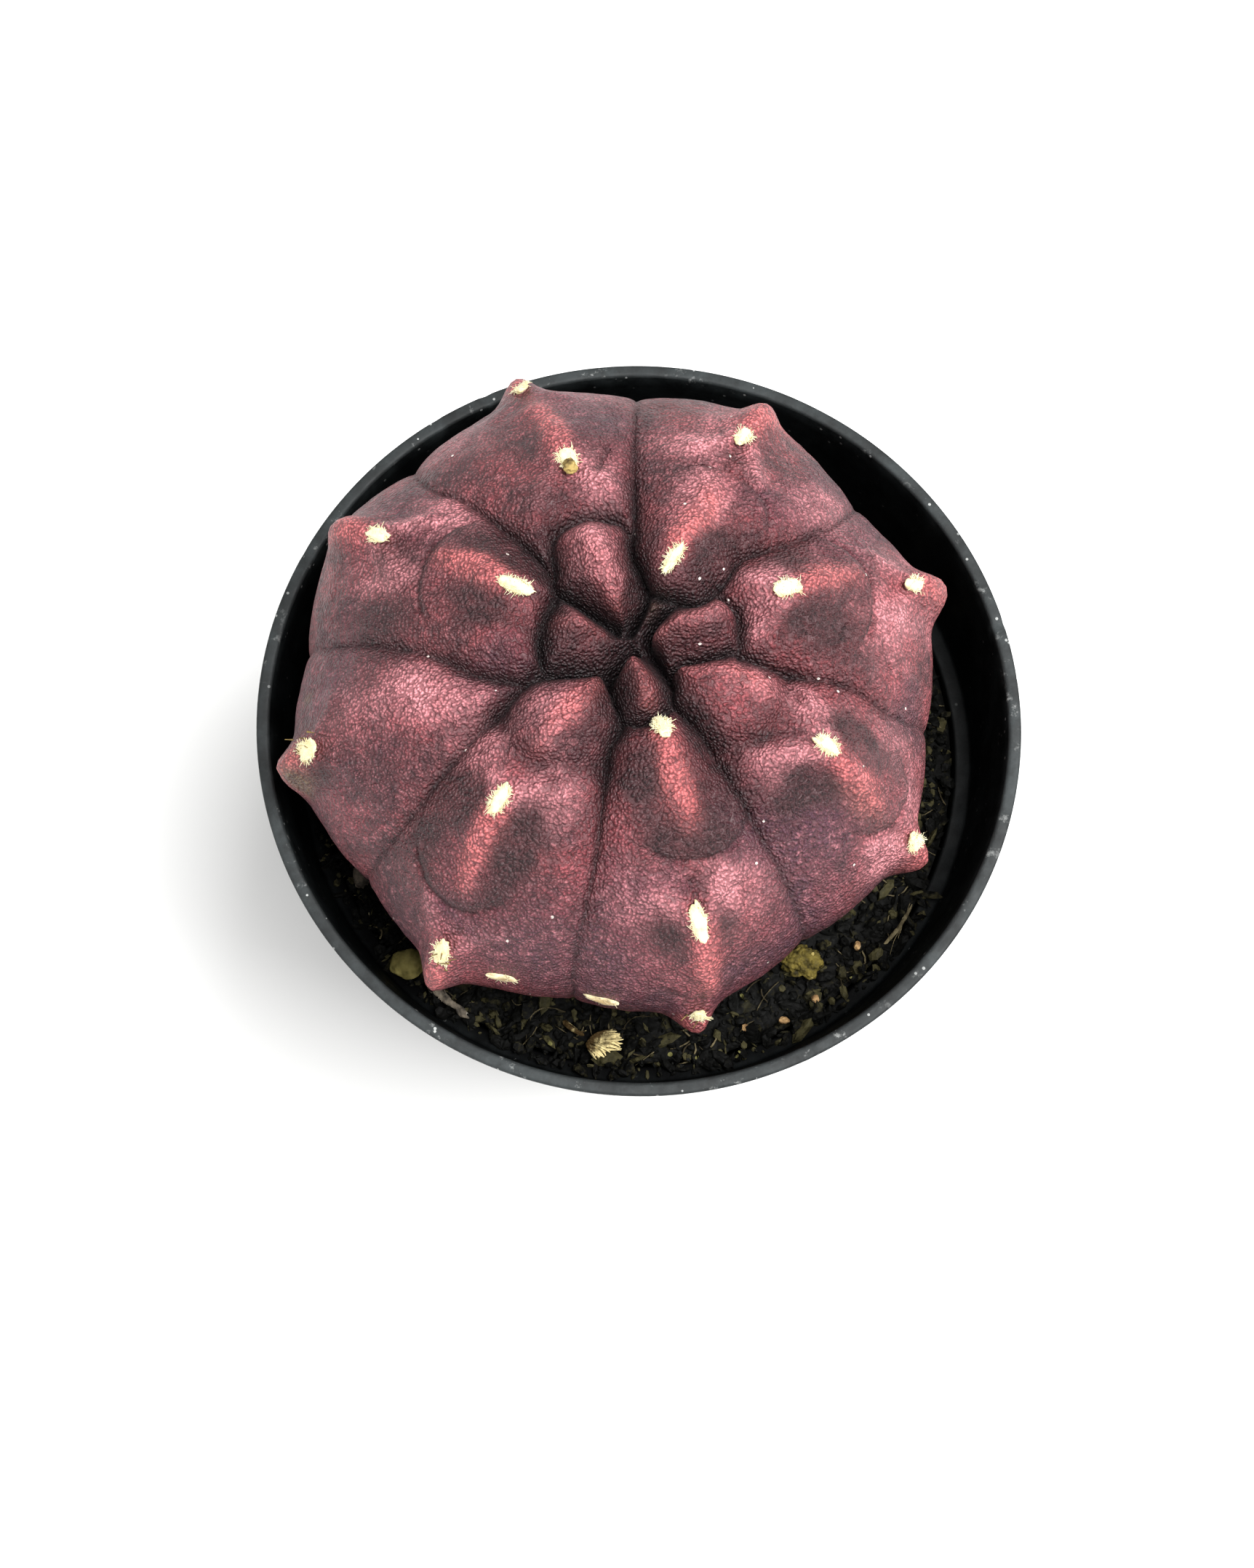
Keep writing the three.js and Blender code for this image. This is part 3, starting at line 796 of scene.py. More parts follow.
@dataclass
class CactusBody:
    """The plant: a flattened globe of eight ribs, each a row of tubercles."""

    offset: tuple[float, float] = (-2.2, 1.0)
    radius: float = 28.6
    tip_radius: float = 30.7
    equator_above_soil: float = 14.0
    crown_rise: float = 17.6
    under_drop: float = 20.0
    crown_dip: float = 3.0
    crown_dip_reach: float = 5.5
    deep_furrow: float = 3.1
    shallow_furrow: float = 0.6
    furrow_fade: float = 17.0
    furrow_reach: float = 1.5
    furrow_spread: float = 0.19
    tip_reach: float = 14.0
    nipple: float = 0.8
    line_shake: float = 0.16
    valley_depth: float = 0.8
    valley_width: float = 1.3
    cone_height: float = 0.75
    cone_width: float = 1.25
    notch_depth: float = 0.28
    notch_width: float = 0.35
    keel_height: float = 0.42
    keel_width: float = 1.25
    edge_depth: float = 0.26
    edge_width: float = 0.35
    edge_swell: float = 1.6
    wing_width: float = 0.9
    blotch_strength: float = 1.3
    rings: int = 232
    upper_rings: int = 202
    shoulder: float = 44.0
    columns: int = 424
    ribs: tuple[float, ...] = (110, 66, 22, -25, -72, -117, -161, -205)
    furrows: dict[str, Route] = field(default_factory=lambda: {
        "a_b": ((56, 1.2), (60, 3.3), (66, 4.6), (77, 6), (86, 8.4), (87, 12), (89, 16.5), (90, 25),
                (90, 38), (89, 56)),
        "b_c": ((64, 4.5), (41, 5.5), (29, 8), (35, 11.5), (40, 14), (37, 20), (38, 27), (43, 38),
                (44, 56)),
        "c_d": ((-32, 4.4), (-24, 4.9), (-16, 5.5), (-11, 6.9), (-5, 8.8), (-2, 10.6), (-5, 13),
                (-6, 16), (-5, 22), (-7, 29), (-3, 40), (-2, 56)),
        "d_e": ((-16, 2.2), (-28, 3.4), (-34, 4.6), (-38, 5.8), (-46, 7.2), (-46, 9.9), (-46, 13),
                (-49, 19), (-50, 28), (-50, 38), (-49, 56)),
        "e_f": ((-29, 1.2), (-88, 1.7), (-98, 3.1), (-93, 4.2), (-85, 6), (-85, 8), (-91, 11),
                (-92, 20), (-94, 30), (-94, 40), (-94, 56)),
        "f_g": ((-151, 9.3), (-145, 12), (-140, 18), (-137, 25), (-137, 33), (-139, 42), (-139, 56)),
        "g_h": ((-151, 9.3), (-162, 13), (-174, 18), (-180, 27), (-182, 36), (-183, 56)),
        "h_a": ((97, 1), (139, 4), (143, 6.5), (138, 9), (137, 12), (138, 20), (140, 27), (135, 38),
                (133, 56)),
        "young_c": ((28, 10), (17, 11), (7, 11), (-4, 11)),
        "young_e": ((-85, 6.8), (-75, 7.6), (-64, 7.8), (-50, 7.6)),
        "young_f": ((-29, 1.2), (-88, 1.5), (-112, 2.5), (-143, 4.6), (-150, 7), (-151, 9.3)),
        "young_g": ((-145, 5), (-154, 6.5), (-173, 6.5), (-190, 6.3), (-215, 6.3)),
        "young_a": ((138, 8), (130, 10.5), (122, 12), (108, 12.2), (94, 11.5), (88, 10.5)),
        "newest": ((40, 5.6), (37, 4.6), (34, 3.2), (14, 2.1), (-9, 2.1), (-28, 3.4)),
    })
    notches: tuple[Route, ...] = (
        ((64, 19.5), (64, 24)),
        ((-69, 22), (-70, 26)),
        ((-72, 31.5), (-72, 37)),
        ((-131, 13.5), (-126, 15.5)),
        ((101, 16), (97, 19)),
    )
    valleys: tuple[Route, ...] = (
        ((-6, 15.9), (-20, 16.2), (-33, 15.4), (-46, 13.6)),
        ((-143, 12.8), (-131, 13.5), (-117, 13.4), (-106, 12.9), (-91, 11.6)),
    )
    cones: tuple[Route, ...] = (
        ((112, 9.5), (106, 6.0), (98, 2.6)),
        ((22, 9.6), (18, 6.4), (4, 3.2)),
        ((-62, 6.4), (-57, 4.8), (-58, 3.0)),
        ((170, 5.4), (160, 3.8), (150, 1.8)),
        ((-15, 13.0), (-15, 9.6), (-22, 6.2)),
        ((-121, 12.0), (-116, 8.0), (-103, 4.4)),
    )
    eggs: tuple[Blotch, ...] = (
        Blotch(-68, 4.0, 2.1, 1.9, 0.9), Blotch(106, 7.2, 3.4, 1.9, 0.7),
        Blotch(17, 6.8, 2.9, 1.8, 0.7), Blotch(164, 4.3, 2.1, 1.8, 0.6), Blotch(50, 4.0, 1.9, 1.1, 0.7),
    )
    tubercles: tuple[Tubercle, ...] = (
        Tubercle(109, 17.8, keel=8.5, shade=0.4, wings=0.3, lean=3.0),
        Tubercle(112, 31.5, keel=3.0, tip=True),
        Tubercle(59, 8.2, keel=8.0, edge=19.4, edge_radius=5.5, shade=0.4, wings=0.2, lean=5.0),
        Tubercle(65, 23.8, keel=8.0, wings=0.6, tip=True),
        Tubercle(21, 15.1, keel=7.0, edge=24.2, edge_radius=7.0, shade=0.7, wings=0.8, lean=3.0),
        Tubercle(20, 29.2, keel=6.0, wings=0.3, tip=True),
        Tubercle(-23, 20.2, keel=7.0, edge=30.7, edge_radius=5.0, shade=1.0, wings=0.9, lean=-3.0),
        Tubercle(-26, 33.5, keel=4.0, wings=0.6, tip=True),
        Tubercle(-62, 9.0, keel=8.0, edge=20.8, edge_radius=6.2, shade=0.8, lean=-5.0),
        Tubercle(-70, 25.8, keel=6.5, edge=34.4, edge_radius=5.0, shade=0.3, wings=0.3),
        Tubercle(-73, 35.9, keel=2.5, tip=True),
        Tubercle(-121, 17.5, keel=7.2, edge=28.0, edge_radius=5.8, shade=1.0, wings=1.0, lean=3.0),
        Tubercle(-117, 32.0, keel=5.0, wings=0.3, tip=True),
        Tubercle(-160, 30.0, keel=3.0, shade=0.5, tip=True),
        Tubercle(-201, 9.8, keel=7.5, edge=18.8, edge_radius=7.0, shade=0.9, wings=0.2, lean=-3.0),
        Tubercle(-203, 24.4, keel=6.0, wings=1.0, tip=True),
    )
    blotches: dict[Mask, tuple[Blotch, ...]] = field(default_factory=lambda: {
        Mask.BLUSH: (
            Blotch(110, 8.3, 2.8, 2.2, 0.9), Blotch(100, 4.5, 2.0, 0.9, 0.7),
            Blotch(101, 15.5, 3.0, 2.4, 0.7), Blotch(64, 14.5, 4.0, 2.2, 0.8),
            Blotch(76, 20.3, 2.0, 3.0, 0.6), Blotch(42, 24.5, 4.0, 2.6, 0.6),
            Blotch(18, 7.5, 2.2, 1.0, 0.7), Blotch(28, 15.0, 1.4, 1.4, 0.9),
            Blotch(15, 12.8, 1.4, 1.4, 0.8), Blotch(11, 25.0, 2.5, 4.0, 0.5),
            Blotch(-14, 12.0, 2.6, 1.6, 0.8), Blotch(-15, 18.0, 2.4, 1.6, 0.8),
            Blotch(-37, 17.5, 1.8, 1.4, 0.8), Blotch(-31, 32.5, 2.6, 2.6, 0.9),
            Blotch(-20, 34.0, 3.6, 2.0, 0.6), Blotch(26, 31.0, 5.0, 1.6, 0.6),
            Blotch(13, 30.0, 5.0, 1.6, 0.5), Blotch(72, 26.0, 4.0, 1.8, 0.5),
            Blotch(-63, 23.5, 3.0, 1.4, 0.5), Blotch(-14, 27.5, 4.0, 2.4, 0.4),
            Blotch(-58, 24.0, 3.0, 3.0, 0.45), Blotch(-80, 23.0, 3.0, 3.0, 0.35),
            Blotch(-136, 9.0, 2.6, 2.0, 0.35), Blotch(-119, 8.2, 2.6, 1.6, 0.6),
            Blotch(-138, 16.0, 2.8, 2.2, 0.55), Blotch(-109, 15.5, 2.4, 2.6, 0.8),
            Blotch(152, 4.2, 1.3, 1.2, 1.0), Blotch(-164, 18.5, 3.0, 2.3, 1.0),
            Blotch(-155, 15.5, 3.4, 1.8, 0.7), Blotch(-165, 25.0, 4.0, 3.0, 0.35),
            Blotch(144, 20.0, 3.6, 2.0, 0.8), Blotch(166, 22.0, 3.6, 2.0, 0.7),
            Blotch(100, 30.0, 5.0, 4.0, 0.35), Blotch(126, 29.0, 5.0, 4.0, 0.3),
        ),
        Mask.SHADE: (
            Blotch(48, 12.0, 3.0, 2.2, 0.75), Blotch(80, 27.5, 2.5, 5.0, 0.35),
            Blotch(50, 29.0, 4.0, 3.0, 0.25), Blotch(8, 17.5, 3.4, 2.6, 0.7),
            Blotch(5, 21.5, 2.4, 3.0, 0.4), Blotch(-28, 14.8, 1.5, 2.6, 0.5),
            Blotch(-37, 20.5, 2.6, 2.2, 1.0), Blotch(-18, 24.5, 3.0, 1.6, 0.5),
            Blotch(-78, 11.5, 4.0, 1.8, 0.9), Blotch(-62, 15.8, 5.4, 5.2, 0.55),
            Blotch(-67, 18.4, 1.6, 4.5, 0.4), Blotch(-77, 26.5, 2.0, 2.6, 0.6),
            Blotch(-65, 27.0, 1.6, 1.3, 0.45), Blotch(-107, 7.3, 2.6, 1.3, 0.4),
            Blotch(-132, 21.0, 4.0, 2.4, 0.9), Blotch(-111, 19.5, 4.0, 1.8, 0.7),
            Blotch(-112, 24.0, 4.0, 3.2, 0.45), Blotch(-157, 31.5, 2.4, 1.8, 0.8),
            Blotch(169, 13.0, 2.4, 2.0, 1.0), Blotch(176, 22.0, 5.0, 3.0, 0.6),
            Blotch(118, 15.0, 3.0, 2.6, 0.35), Blotch(122, 25.0, 5.0, 3.6, 0.35),
            Blotch(98, 25.0, 5.0, 3.0, 0.3), Blotch(150, 14.5, 3.6, 2.2, 0.65),
            Blotch(160, 22.5, 4.0, 3.0, 0.5), Blotch(-150, 25.0, 5.0, 3.4, 0.3),
            Blotch(-172, 23.0, 4.5, 3.0, 0.35), Blotch(-163, 27.0, 2.5, 3.0, 0.35),
            Blotch(-130, 26.0, 4.0, 3.0, 0.35), Blotch(-58, 3.0, 3.0, 3.0, 0.5),
            Blotch(56, 3.4, 2.0, 2.0, 1.0), Blotch(10, 4.0, 2.5, 2.5, 0.3),
            Blotch(160, 3.0, 2.0, 2.0, 0.3), Blotch(150, 10.0, 3.0, 2.0, 0.2),
        ),
        Mask.KEEL: (
            Blotch(-158, 34.5, 2.6, 2.2, 0.35), Blotch(112, 34.5, 2.6, 2.2, 0.5),
            Blotch(-73, 38.5, 2.2, 2.0, 0.5), Blotch(-26, 37.0, 3.4, 2.6, 0.5),
            Blotch(20, 34.0, 3.4, 2.6, 0.5), Blotch(65, 29.0, 3.4, 2.6, 0.5),
            Blotch(-116, 41.0, 3.0, 3.0, 0.35), Blotch(21, 40.0, 3.0, 3.0, 0.35),
            Blotch(-25, 41.0, 3.0, 2.6, 0.45), Blotch(-27, 25.6, 2.6, 1.2, 0.4),
            Blotch(64, 31.0, 3.0, 2.4, 0.6), Blotch(156, 31.0, 3.0, 2.2, 0.8),
            Blotch(110, 42.0, 3.0, 2.4, 0.4), Blotch(-72, 33.5, 2.5, 2.0, 0.3),
            Blotch(-16, 12.0, 2.2, 1.0, 0.4), Blotch(-119, 8.2, 2.4, 1.1, 0.4),
        ),
        Mask.PLUM: (
            Blotch(-85, 35.0, 7.0, 9.0, 0.55), Blotch(-58, 36.0, 7.0, 7.0, 0.5),
            Blotch(-105, 29.0, 6.0, 6.0, 0.5), Blotch(-44, 25.0, 8.0, 5.0, 0.55),
            Blotch(-126, 37.0, 8.0, 7.0, 0.4), Blotch(-33, 24.0, 4.0, 4.0, 0.4),
            Blotch(-86, 24.0, 7.0, 4.0, 0.4), Blotch(150, 24.0, 9.0, 4.0, 0.4),
            Blotch(185, 30.0, 9.0, 5.0, 0.4), Blotch(-150, 30.0, 9.0, 6.0, 0.3),
            Blotch(97, 22.0, 8.0, 5.0, 0.35), Blotch(125, 33.0, 7.0, 6.0, 0.35),
        ),
        Mask.CORK: (
            Blotch(50, 4.0, 1.7, 0.9, 0.35), Blotch(-28, 26.0, 2.8, 1.3, 0.16),
            Blotch(-157, 32.8, 1.6, 1.3, 0.9), Blotch(-161, 30.4, 0.8, 0.8, 0.5),
            Blotch(-171, 31.0, 0.8, 0.5, 0.7),
        ),
    })

    def __post_init__(self) -> None:
        """Walks the meridian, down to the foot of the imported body."""
        self.axis = np.array(self.offset)
        self.soil = node_box("potting_soil")[1][2]
        base = node_box("cactus_body")[0][2] - self.soil
        angle = np.linspace(0.0, np.pi, 2400)
        radius = self.radius * np.sin(angle)
        above = angle < np.pi / 2
        dip = np.where(above, self.crown_dip * np.exp(-((radius / self.crown_dip_reach) ** 2)), 0.0)
        half = np.where(above, self.crown_rise, self.under_drop)
        height = self.equator_above_soil + half * np.cos(angle) - dip
        kept = above | (height >= base)
        self.table_radius, self.table_height = radius[kept], height[kept]
        step = np.hypot(np.diff(self.table_radius), np.diff(self.table_height))
        self.table_distance = np.concatenate([[0.0], np.cumsum(step)])
        self.base_distance = self.table_distance[-1]

    @staticmethod
    def flat(bearing: np.ndarray, distance: np.ndarray) -> np.ndarray:
        """Polar skin places laid flat: distance times the bearing's cosine and sine."""
        angle = np.radians(bearing)
        return np.stack([distance * np.cos(angle), distance * np.sin(angle)], axis=-1)

    def route_distance(self, place: np.ndarray, route: Route) -> np.ndarray:
        """The flat distance from each place to a route.

        Each stretch is cut into short chords that bend through the route's points
        (a Catmull-Rom curve), and the least distance to any chord counts.

        Args:
            place: flat places.
            route: the route's bearings and distances.

        Returns:
            One distance for each place.
        """
        points = self.flat(*np.array(route, float).T)
        ends = np.concatenate([2 * points[:1] - points[1:2], points, 2 * points[-1:] - points[-2:-1]])
        share = np.linspace(0.0, 1.0, 5)[:-1, None]
        bent = []
        for a, b, c, d in zip(ends[:-3], ends[1:-2], ends[2:-1], ends[3:]):
            bent.append(0.5 * (2 * b + (c - a) * share + (2 * a - 5 * b + 4 * c - d) * share**2
                               + (3 * b - a - 3 * c + d) * share**3))
        line = np.concatenate([*bent, points[-1:]])
        least = np.full(len(place), np.inf)
        for start, end in zip(line[:-1], line[1:]):
            along = end - start
            t = np.clip((place - start) @ along / (along @ along + 1e-12), 0.0, 1.0)
            least = np.minimum(least, np.hypot(*(place - start - t[:, None] * along).T))
        return least

    def edge_route(self, tubercle: Tubercle) -> Route:
        """The outer edge of a tubercle: part of a circle whose far side is at its edge distance.

        Args:
            tubercle: the tubercle, which has an edge.

        Returns:
            The edge's bearings and distances.
        """
        centre = tubercle.edge - tubercle.edge_radius
        half = 300.0 / tubercle.edge_radius
        turn = np.radians(np.linspace(-half, half, 9))
        along = centre + tubercle.edge_radius * np.cos(turn)
        across = tubercle.edge_radius * np.sin(turn)
        bearing = tubercle.bearing + np.degrees(np.arctan2(across, along))
        return tuple(zip(bearing, np.hypot(along, across)))

    def blotch(self, place: np.ndarray, spot: Blotch) -> np.ndarray:
        """A soft patch: strength times e to the minus (along squared plus across squared) to the 1.3.

        Args:
            place: flat places.
            spot: the patch, whose sizes divide the offsets along and across the rib.

        Returns:
            One value for each place.
        """
        centre = self.flat(np.array(spot.bearing), np.array(spot.distance))
        outward = centre / (np.linalg.norm(centre) + 1e-9)
        offset = place - centre
        along = offset @ outward / spot.along
        across = (offset[:, 0] * outward[1] - offset[:, 1] * outward[0]) / spot.across
        return spot.strength * np.exp(-(along**2 + across**2) ** 1.3)

    def relief(self, bearing: np.ndarray, distance: np.ndarray) -> tuple[np.ndarray, dict[str, np.ndarray]]:
        """How far the skin stands off the meridian's surface, and its colour masks, painted shade and
        painted highlights among them.

        Furrows are valleys whose walls bulge like pressed cushions: depth times the square of
        one minus the distance over the reach. A power sum joins them. Rib tips, keels and
        tubercles stand out, cross creases and notches are shallow and narrow.

        Args:
            bearing: bearings of the skin places.
            distance: their distances from the crown.

        Returns:
            The offsets and the masks by attribute name.
        """
        place = self.flat(bearing, distance)
        spot = np.stack([*place.T, np.zeros_like(distance)], axis=-1)
        wander = np.stack([fractal_noise(spot, 3.0, 5), fractal_noise(spot, 3.0, 9)], axis=-1)
        drawn = place + self.line_shake * wander
        fade = np.exp(-((distance / self.furrow_fade) ** 2))
        depth = self.shallow_furrow + (self.deep_furrow - self.shallow_furrow) * fade
        reach = self.furrow_reach + self.furrow_spread * distance
        furrow = np.zeros(len(place))
        nearest = np.full(len(place), np.inf)
        for route in self.furrows.values():
            away = self.route_distance(drawn, route)
            nearest = np.minimum(nearest, away)
            furrow += (depth * np.maximum(0.0, 1.0 - away / reach) ** 2.0) ** 5
        furrow = furrow**0.2 + (0.20 + 0.6 * fade) * np.exp(-nearest / 0.3)
        rise = smooth_step(16.0, 36.0, distance)
        tip = np.zeros(len(place))
        for rib in self.ribs:
            ridge = self.route_distance(place, ((rib, 4.0), (rib, 60.0)))
            tip = np.maximum(tip, np.maximum(0.0, 1.0 - ridge / self.tip_reach) ** 2.4)
        lift = (self.tip_radius - self.radius - self.nipple) * rise * tip
        for tubercle in self.tubercles:
            if tubercle.tip:
                spot_at = Blotch(tubercle.bearing, tubercle.distance + 4.2, 3.8, 2.3, 1.0)
                lift += (self.nipple + 0.25) * self.blotch(place, spot_at)
        masks = {mask: np.zeros(len(place)) for mask in Mask}
        # Painted shade in the furrows' clefts, partly their darker colour, wider and stronger near the
        # crown.
        masks[Mask.CLEFT_PIGMENT_AND_SHADE] = bell(nearest, 0.2 + 0.85 * fade) * (0.3 + 0.7 * fade)
        # Painted shade: darker towards the nearest furrow, wider and stronger near the crown.
        masks[Mask.SHADE] += 1.1 * np.exp(-nearest / (0.7 + 1.3 * fade)) * (0.4 + 0.6 * fade)
        for route in self.valleys:
            away = self.route_distance(drawn, route)
            lift -= self.valley_depth * bell(away, self.valley_width)
            # Painted shade along each cross valley.
            masks[Mask.SHADE] += 0.5 * bell(away, 1.0)
        for route in self.cones:
            away = self.route_distance(drawn, route)
            lift += self.cone_height * bell(away, self.cone_width)
            # Some keel red along each cone's ridge, its colour, and a narrow blush band there as a painted
            # highlight.
            masks[Mask.KEEL] += 0.3 * bell(away, 0.9)
            masks[Mask.BLUSH] += 0.35 * bell(away, 0.7)
        for egg in self.eggs:
            lift += self.blotch(place, egg)
        for tubercle in self.tubercles:
            lift += self.dress(tubercle, place, drawn, masks)
        for route in self.notches:
            away = self.route_distance(drawn, route)
            lift -= self.notch_depth * bell(away, self.notch_width)
            # Painted shade in each notch.
            masks[Mask.CLEFT_PIGMENT_AND_SHADE] = np.maximum(masks[Mask.CLEFT_PIGMENT_AND_SHADE], 0.5 * bell(away, 0.3))
        for mask, spots in self.blotches.items():
            for item in spots:
                masks[mask] += self.blotch_strength * self.blotch(place + 0.8 * wander, item)
        lift += 0.22 * fractal_noise(spot, 6.0, 21) + 0.07 * fractal_noise(spot, 1.6, 33)
        # Painted shade: darker towards the crown, most where the skin lies low.
        masks[Mask.SHADE] += 0.6 * smooth_step(12.0, 3.0, distance) * np.exp(-lift.clip(0.0) / 0.9)
        ends = {mask.value: np.clip(value, 0.0, 1.0) for mask, value in masks.items()}
        return lift - furrow, ends

    def dress(self, tubercle: Tubercle, place: np.ndarray, drawn: np.ndarray,
              masks: dict[Mask, np.ndarray]) -> np.ndarray:
        """Adds one tubercle's swelling, keel, edge and colours.

        Args:
            tubercle: the tubercle.
            place: flat places.
            drawn: the same, shaken a little so that lines aren't ruled.
            masks: the colour masks, changed in place.

        Returns:
            The lift that the tubercle adds.
        """
        b, s = tubercle.bearing, tubercle.distance
        lift = 0.5 * self.blotch(place, Blotch(b, s + 2.8, 3.0, 2.6, 1.0))
        lift -= 0.3 * self.blotch(place, Blotch(b, s, 1.2, 0.9, 1.0))
        if tubercle.keel:
            line = ((b, s + 0.8), (b + tubercle.lean, s + tubercle.keel))
            lift += self.keel_height * bell(self.route_distance(drawn, line), self.keel_width)
            stray = self.route_distance(place + 0.7 * (drawn - place) / self.line_shake, line)
            half = 0.5 * tubercle.keel
            middle = Blotch(b + 0.45 * tubercle.lean, s + 0.6 + 0.42 * tubercle.keel, half, 1.1, 1.0)
            patch = self.blotch(place + 0.6 * (drawn - place) / self.line_shake, middle)
            masks[Mask.KEEL] += 0.4 * bell(stray, 1.0) + patch
            masks[Mask.BLUSH] += 0.4 * bell(stray, 0.5)
        if tubercle.edge:
            away = self.route_distance(drawn, self.edge_route(tubercle))
            centre = self.flat(np.array(b), np.array(tubercle.edge - tubercle.edge_radius))
            inside = np.hypot(*(drawn - centre).T) < tubercle.edge_radius
            swell = np.exp(-away / self.edge_swell)
            lift += np.where(inside, 0.30, 0.0) * swell - self.edge_depth * bell(away, self.edge_width)
            # Painted shade in the edge's crease.
            masks[Mask.CLEFT_PIGMENT_AND_SHADE] = np.maximum(masks[Mask.CLEFT_PIGMENT_AND_SHADE], 0.38 * bell(away, 0.24))
            masks[Mask.SHADE] += np.where(inside, 0.85, 0.0) * swell * tubercle.shade
        swing = math.degrees(2.6 / s)
        for side in (-1.0, 1.0):
            dark = Blotch(b + side * swing, s + 1.9, 2.6, 1.5, 1.1 * tubercle.shade)
            masks[Mask.SHADE] += self.blotch(place, dark)
            line = ((b + side * swing * 0.3, s - 0.3), (b + side * swing * 1.5, s - 3.2))
            wing = bell(self.route_distance(drawn, line), self.wing_width)
            lift += (0.2 + 0.25 * tubercle.wings) * wing
            masks[Mask.BLUSH] += 1.2 * tubercle.wings * wing
        return lift

    def points(self, bearing: np.ndarray, distance: np.ndarray, lift: np.ndarray) -> np.ndarray:
        """Skin places in space: the meridian's point moved along its normal by lift.

        Args:
            bearing: bearings.
            distance: distances from the crown.
            lift: offsets along the normal.

        Returns:
            The places in millimetres.
        """
        radius = np.interp(distance, self.table_distance, self.table_radius)
        height = np.interp(distance, self.table_distance, self.table_height)
        slope_r = np.gradient(self.table_radius, self.table_distance)
        slope_h = np.gradient(self.table_height, self.table_distance)
        upward = np.interp(distance, self.table_distance, slope_r)
        outward = -np.interp(distance, self.table_distance, slope_h)
        reach = np.maximum(0.0, radius + lift * outward)
        angle = np.radians(bearing)
        return np.stack([
            self.axis[0] + reach * np.cos(angle),
            self.axis[1] + reach * np.sin(angle),
            self.soil + height + lift * upward,
        ], axis=-1)

    def column_bearings(self) -> np.ndarray:
        """Spaces the grid's columns, closer together near the long furrows.

        Returns:
            One bearing for each column.
        """
        fine = np.linspace(0.0, 360.0, 3601)
        closeness = np.ones_like(fine)
        for name, route in self.furrows.items():
            if not name.startswith(("young", "newest")):
                away = (fine - route[-3][0] + 180.0) % 360.0 - 180.0
                closeness += 1.6 * bell(away, 4.5)
        total = np.concatenate([[0.0], np.cumsum((closeness[1:] + closeness[:-1]) / 2.0)])
        return np.interp(np.arange(self.columns) / self.columns * total[-1], total, fine)

    def surface(self) -> Surface:
        """The whole skin on a polar grid, its rings closer down to the shoulder, with its masks.

        Returns:
            The closed skin.
        """
        outer = self.rings - self.upper_rings
        distance = np.concatenate([
            self.shoulder * np.arange(1, self.upper_rings + 1) / self.upper_rings,
            self.shoulder + (self.base_distance - self.shoulder) * np.arange(1, outer + 1) / outer,
        ])
        bearing = self.column_bearings()
        d, b = (x.ravel() for x in np.meshgrid(distance, bearing, indexing="ij"))
        crown_d, crown_b = np.append(d, 0.0), np.append(b, 0.0)
        lift, masks = self.relief(crown_b, crown_d)
        places = self.points(crown_b, crown_d, lift)
        rings = places[:-1].reshape(self.rings, self.columns, 3)
        root = np.append(self.axis, rings[-1, :, 2].mean())
        skin = closed_rings(rings, places[-1], root)
        skin.values = {name: np.append(value, 0.0) for name, value in masks.items()}
        self.skin_points = skin.vertices
        return skin

    def build(self, finish: bpy.types.Material) -> bpy.types.Object:
        """Makes the plant's body."""
        return settle(self.surface().piece("cactus", finish), "cactus_skin", "cactus_body")


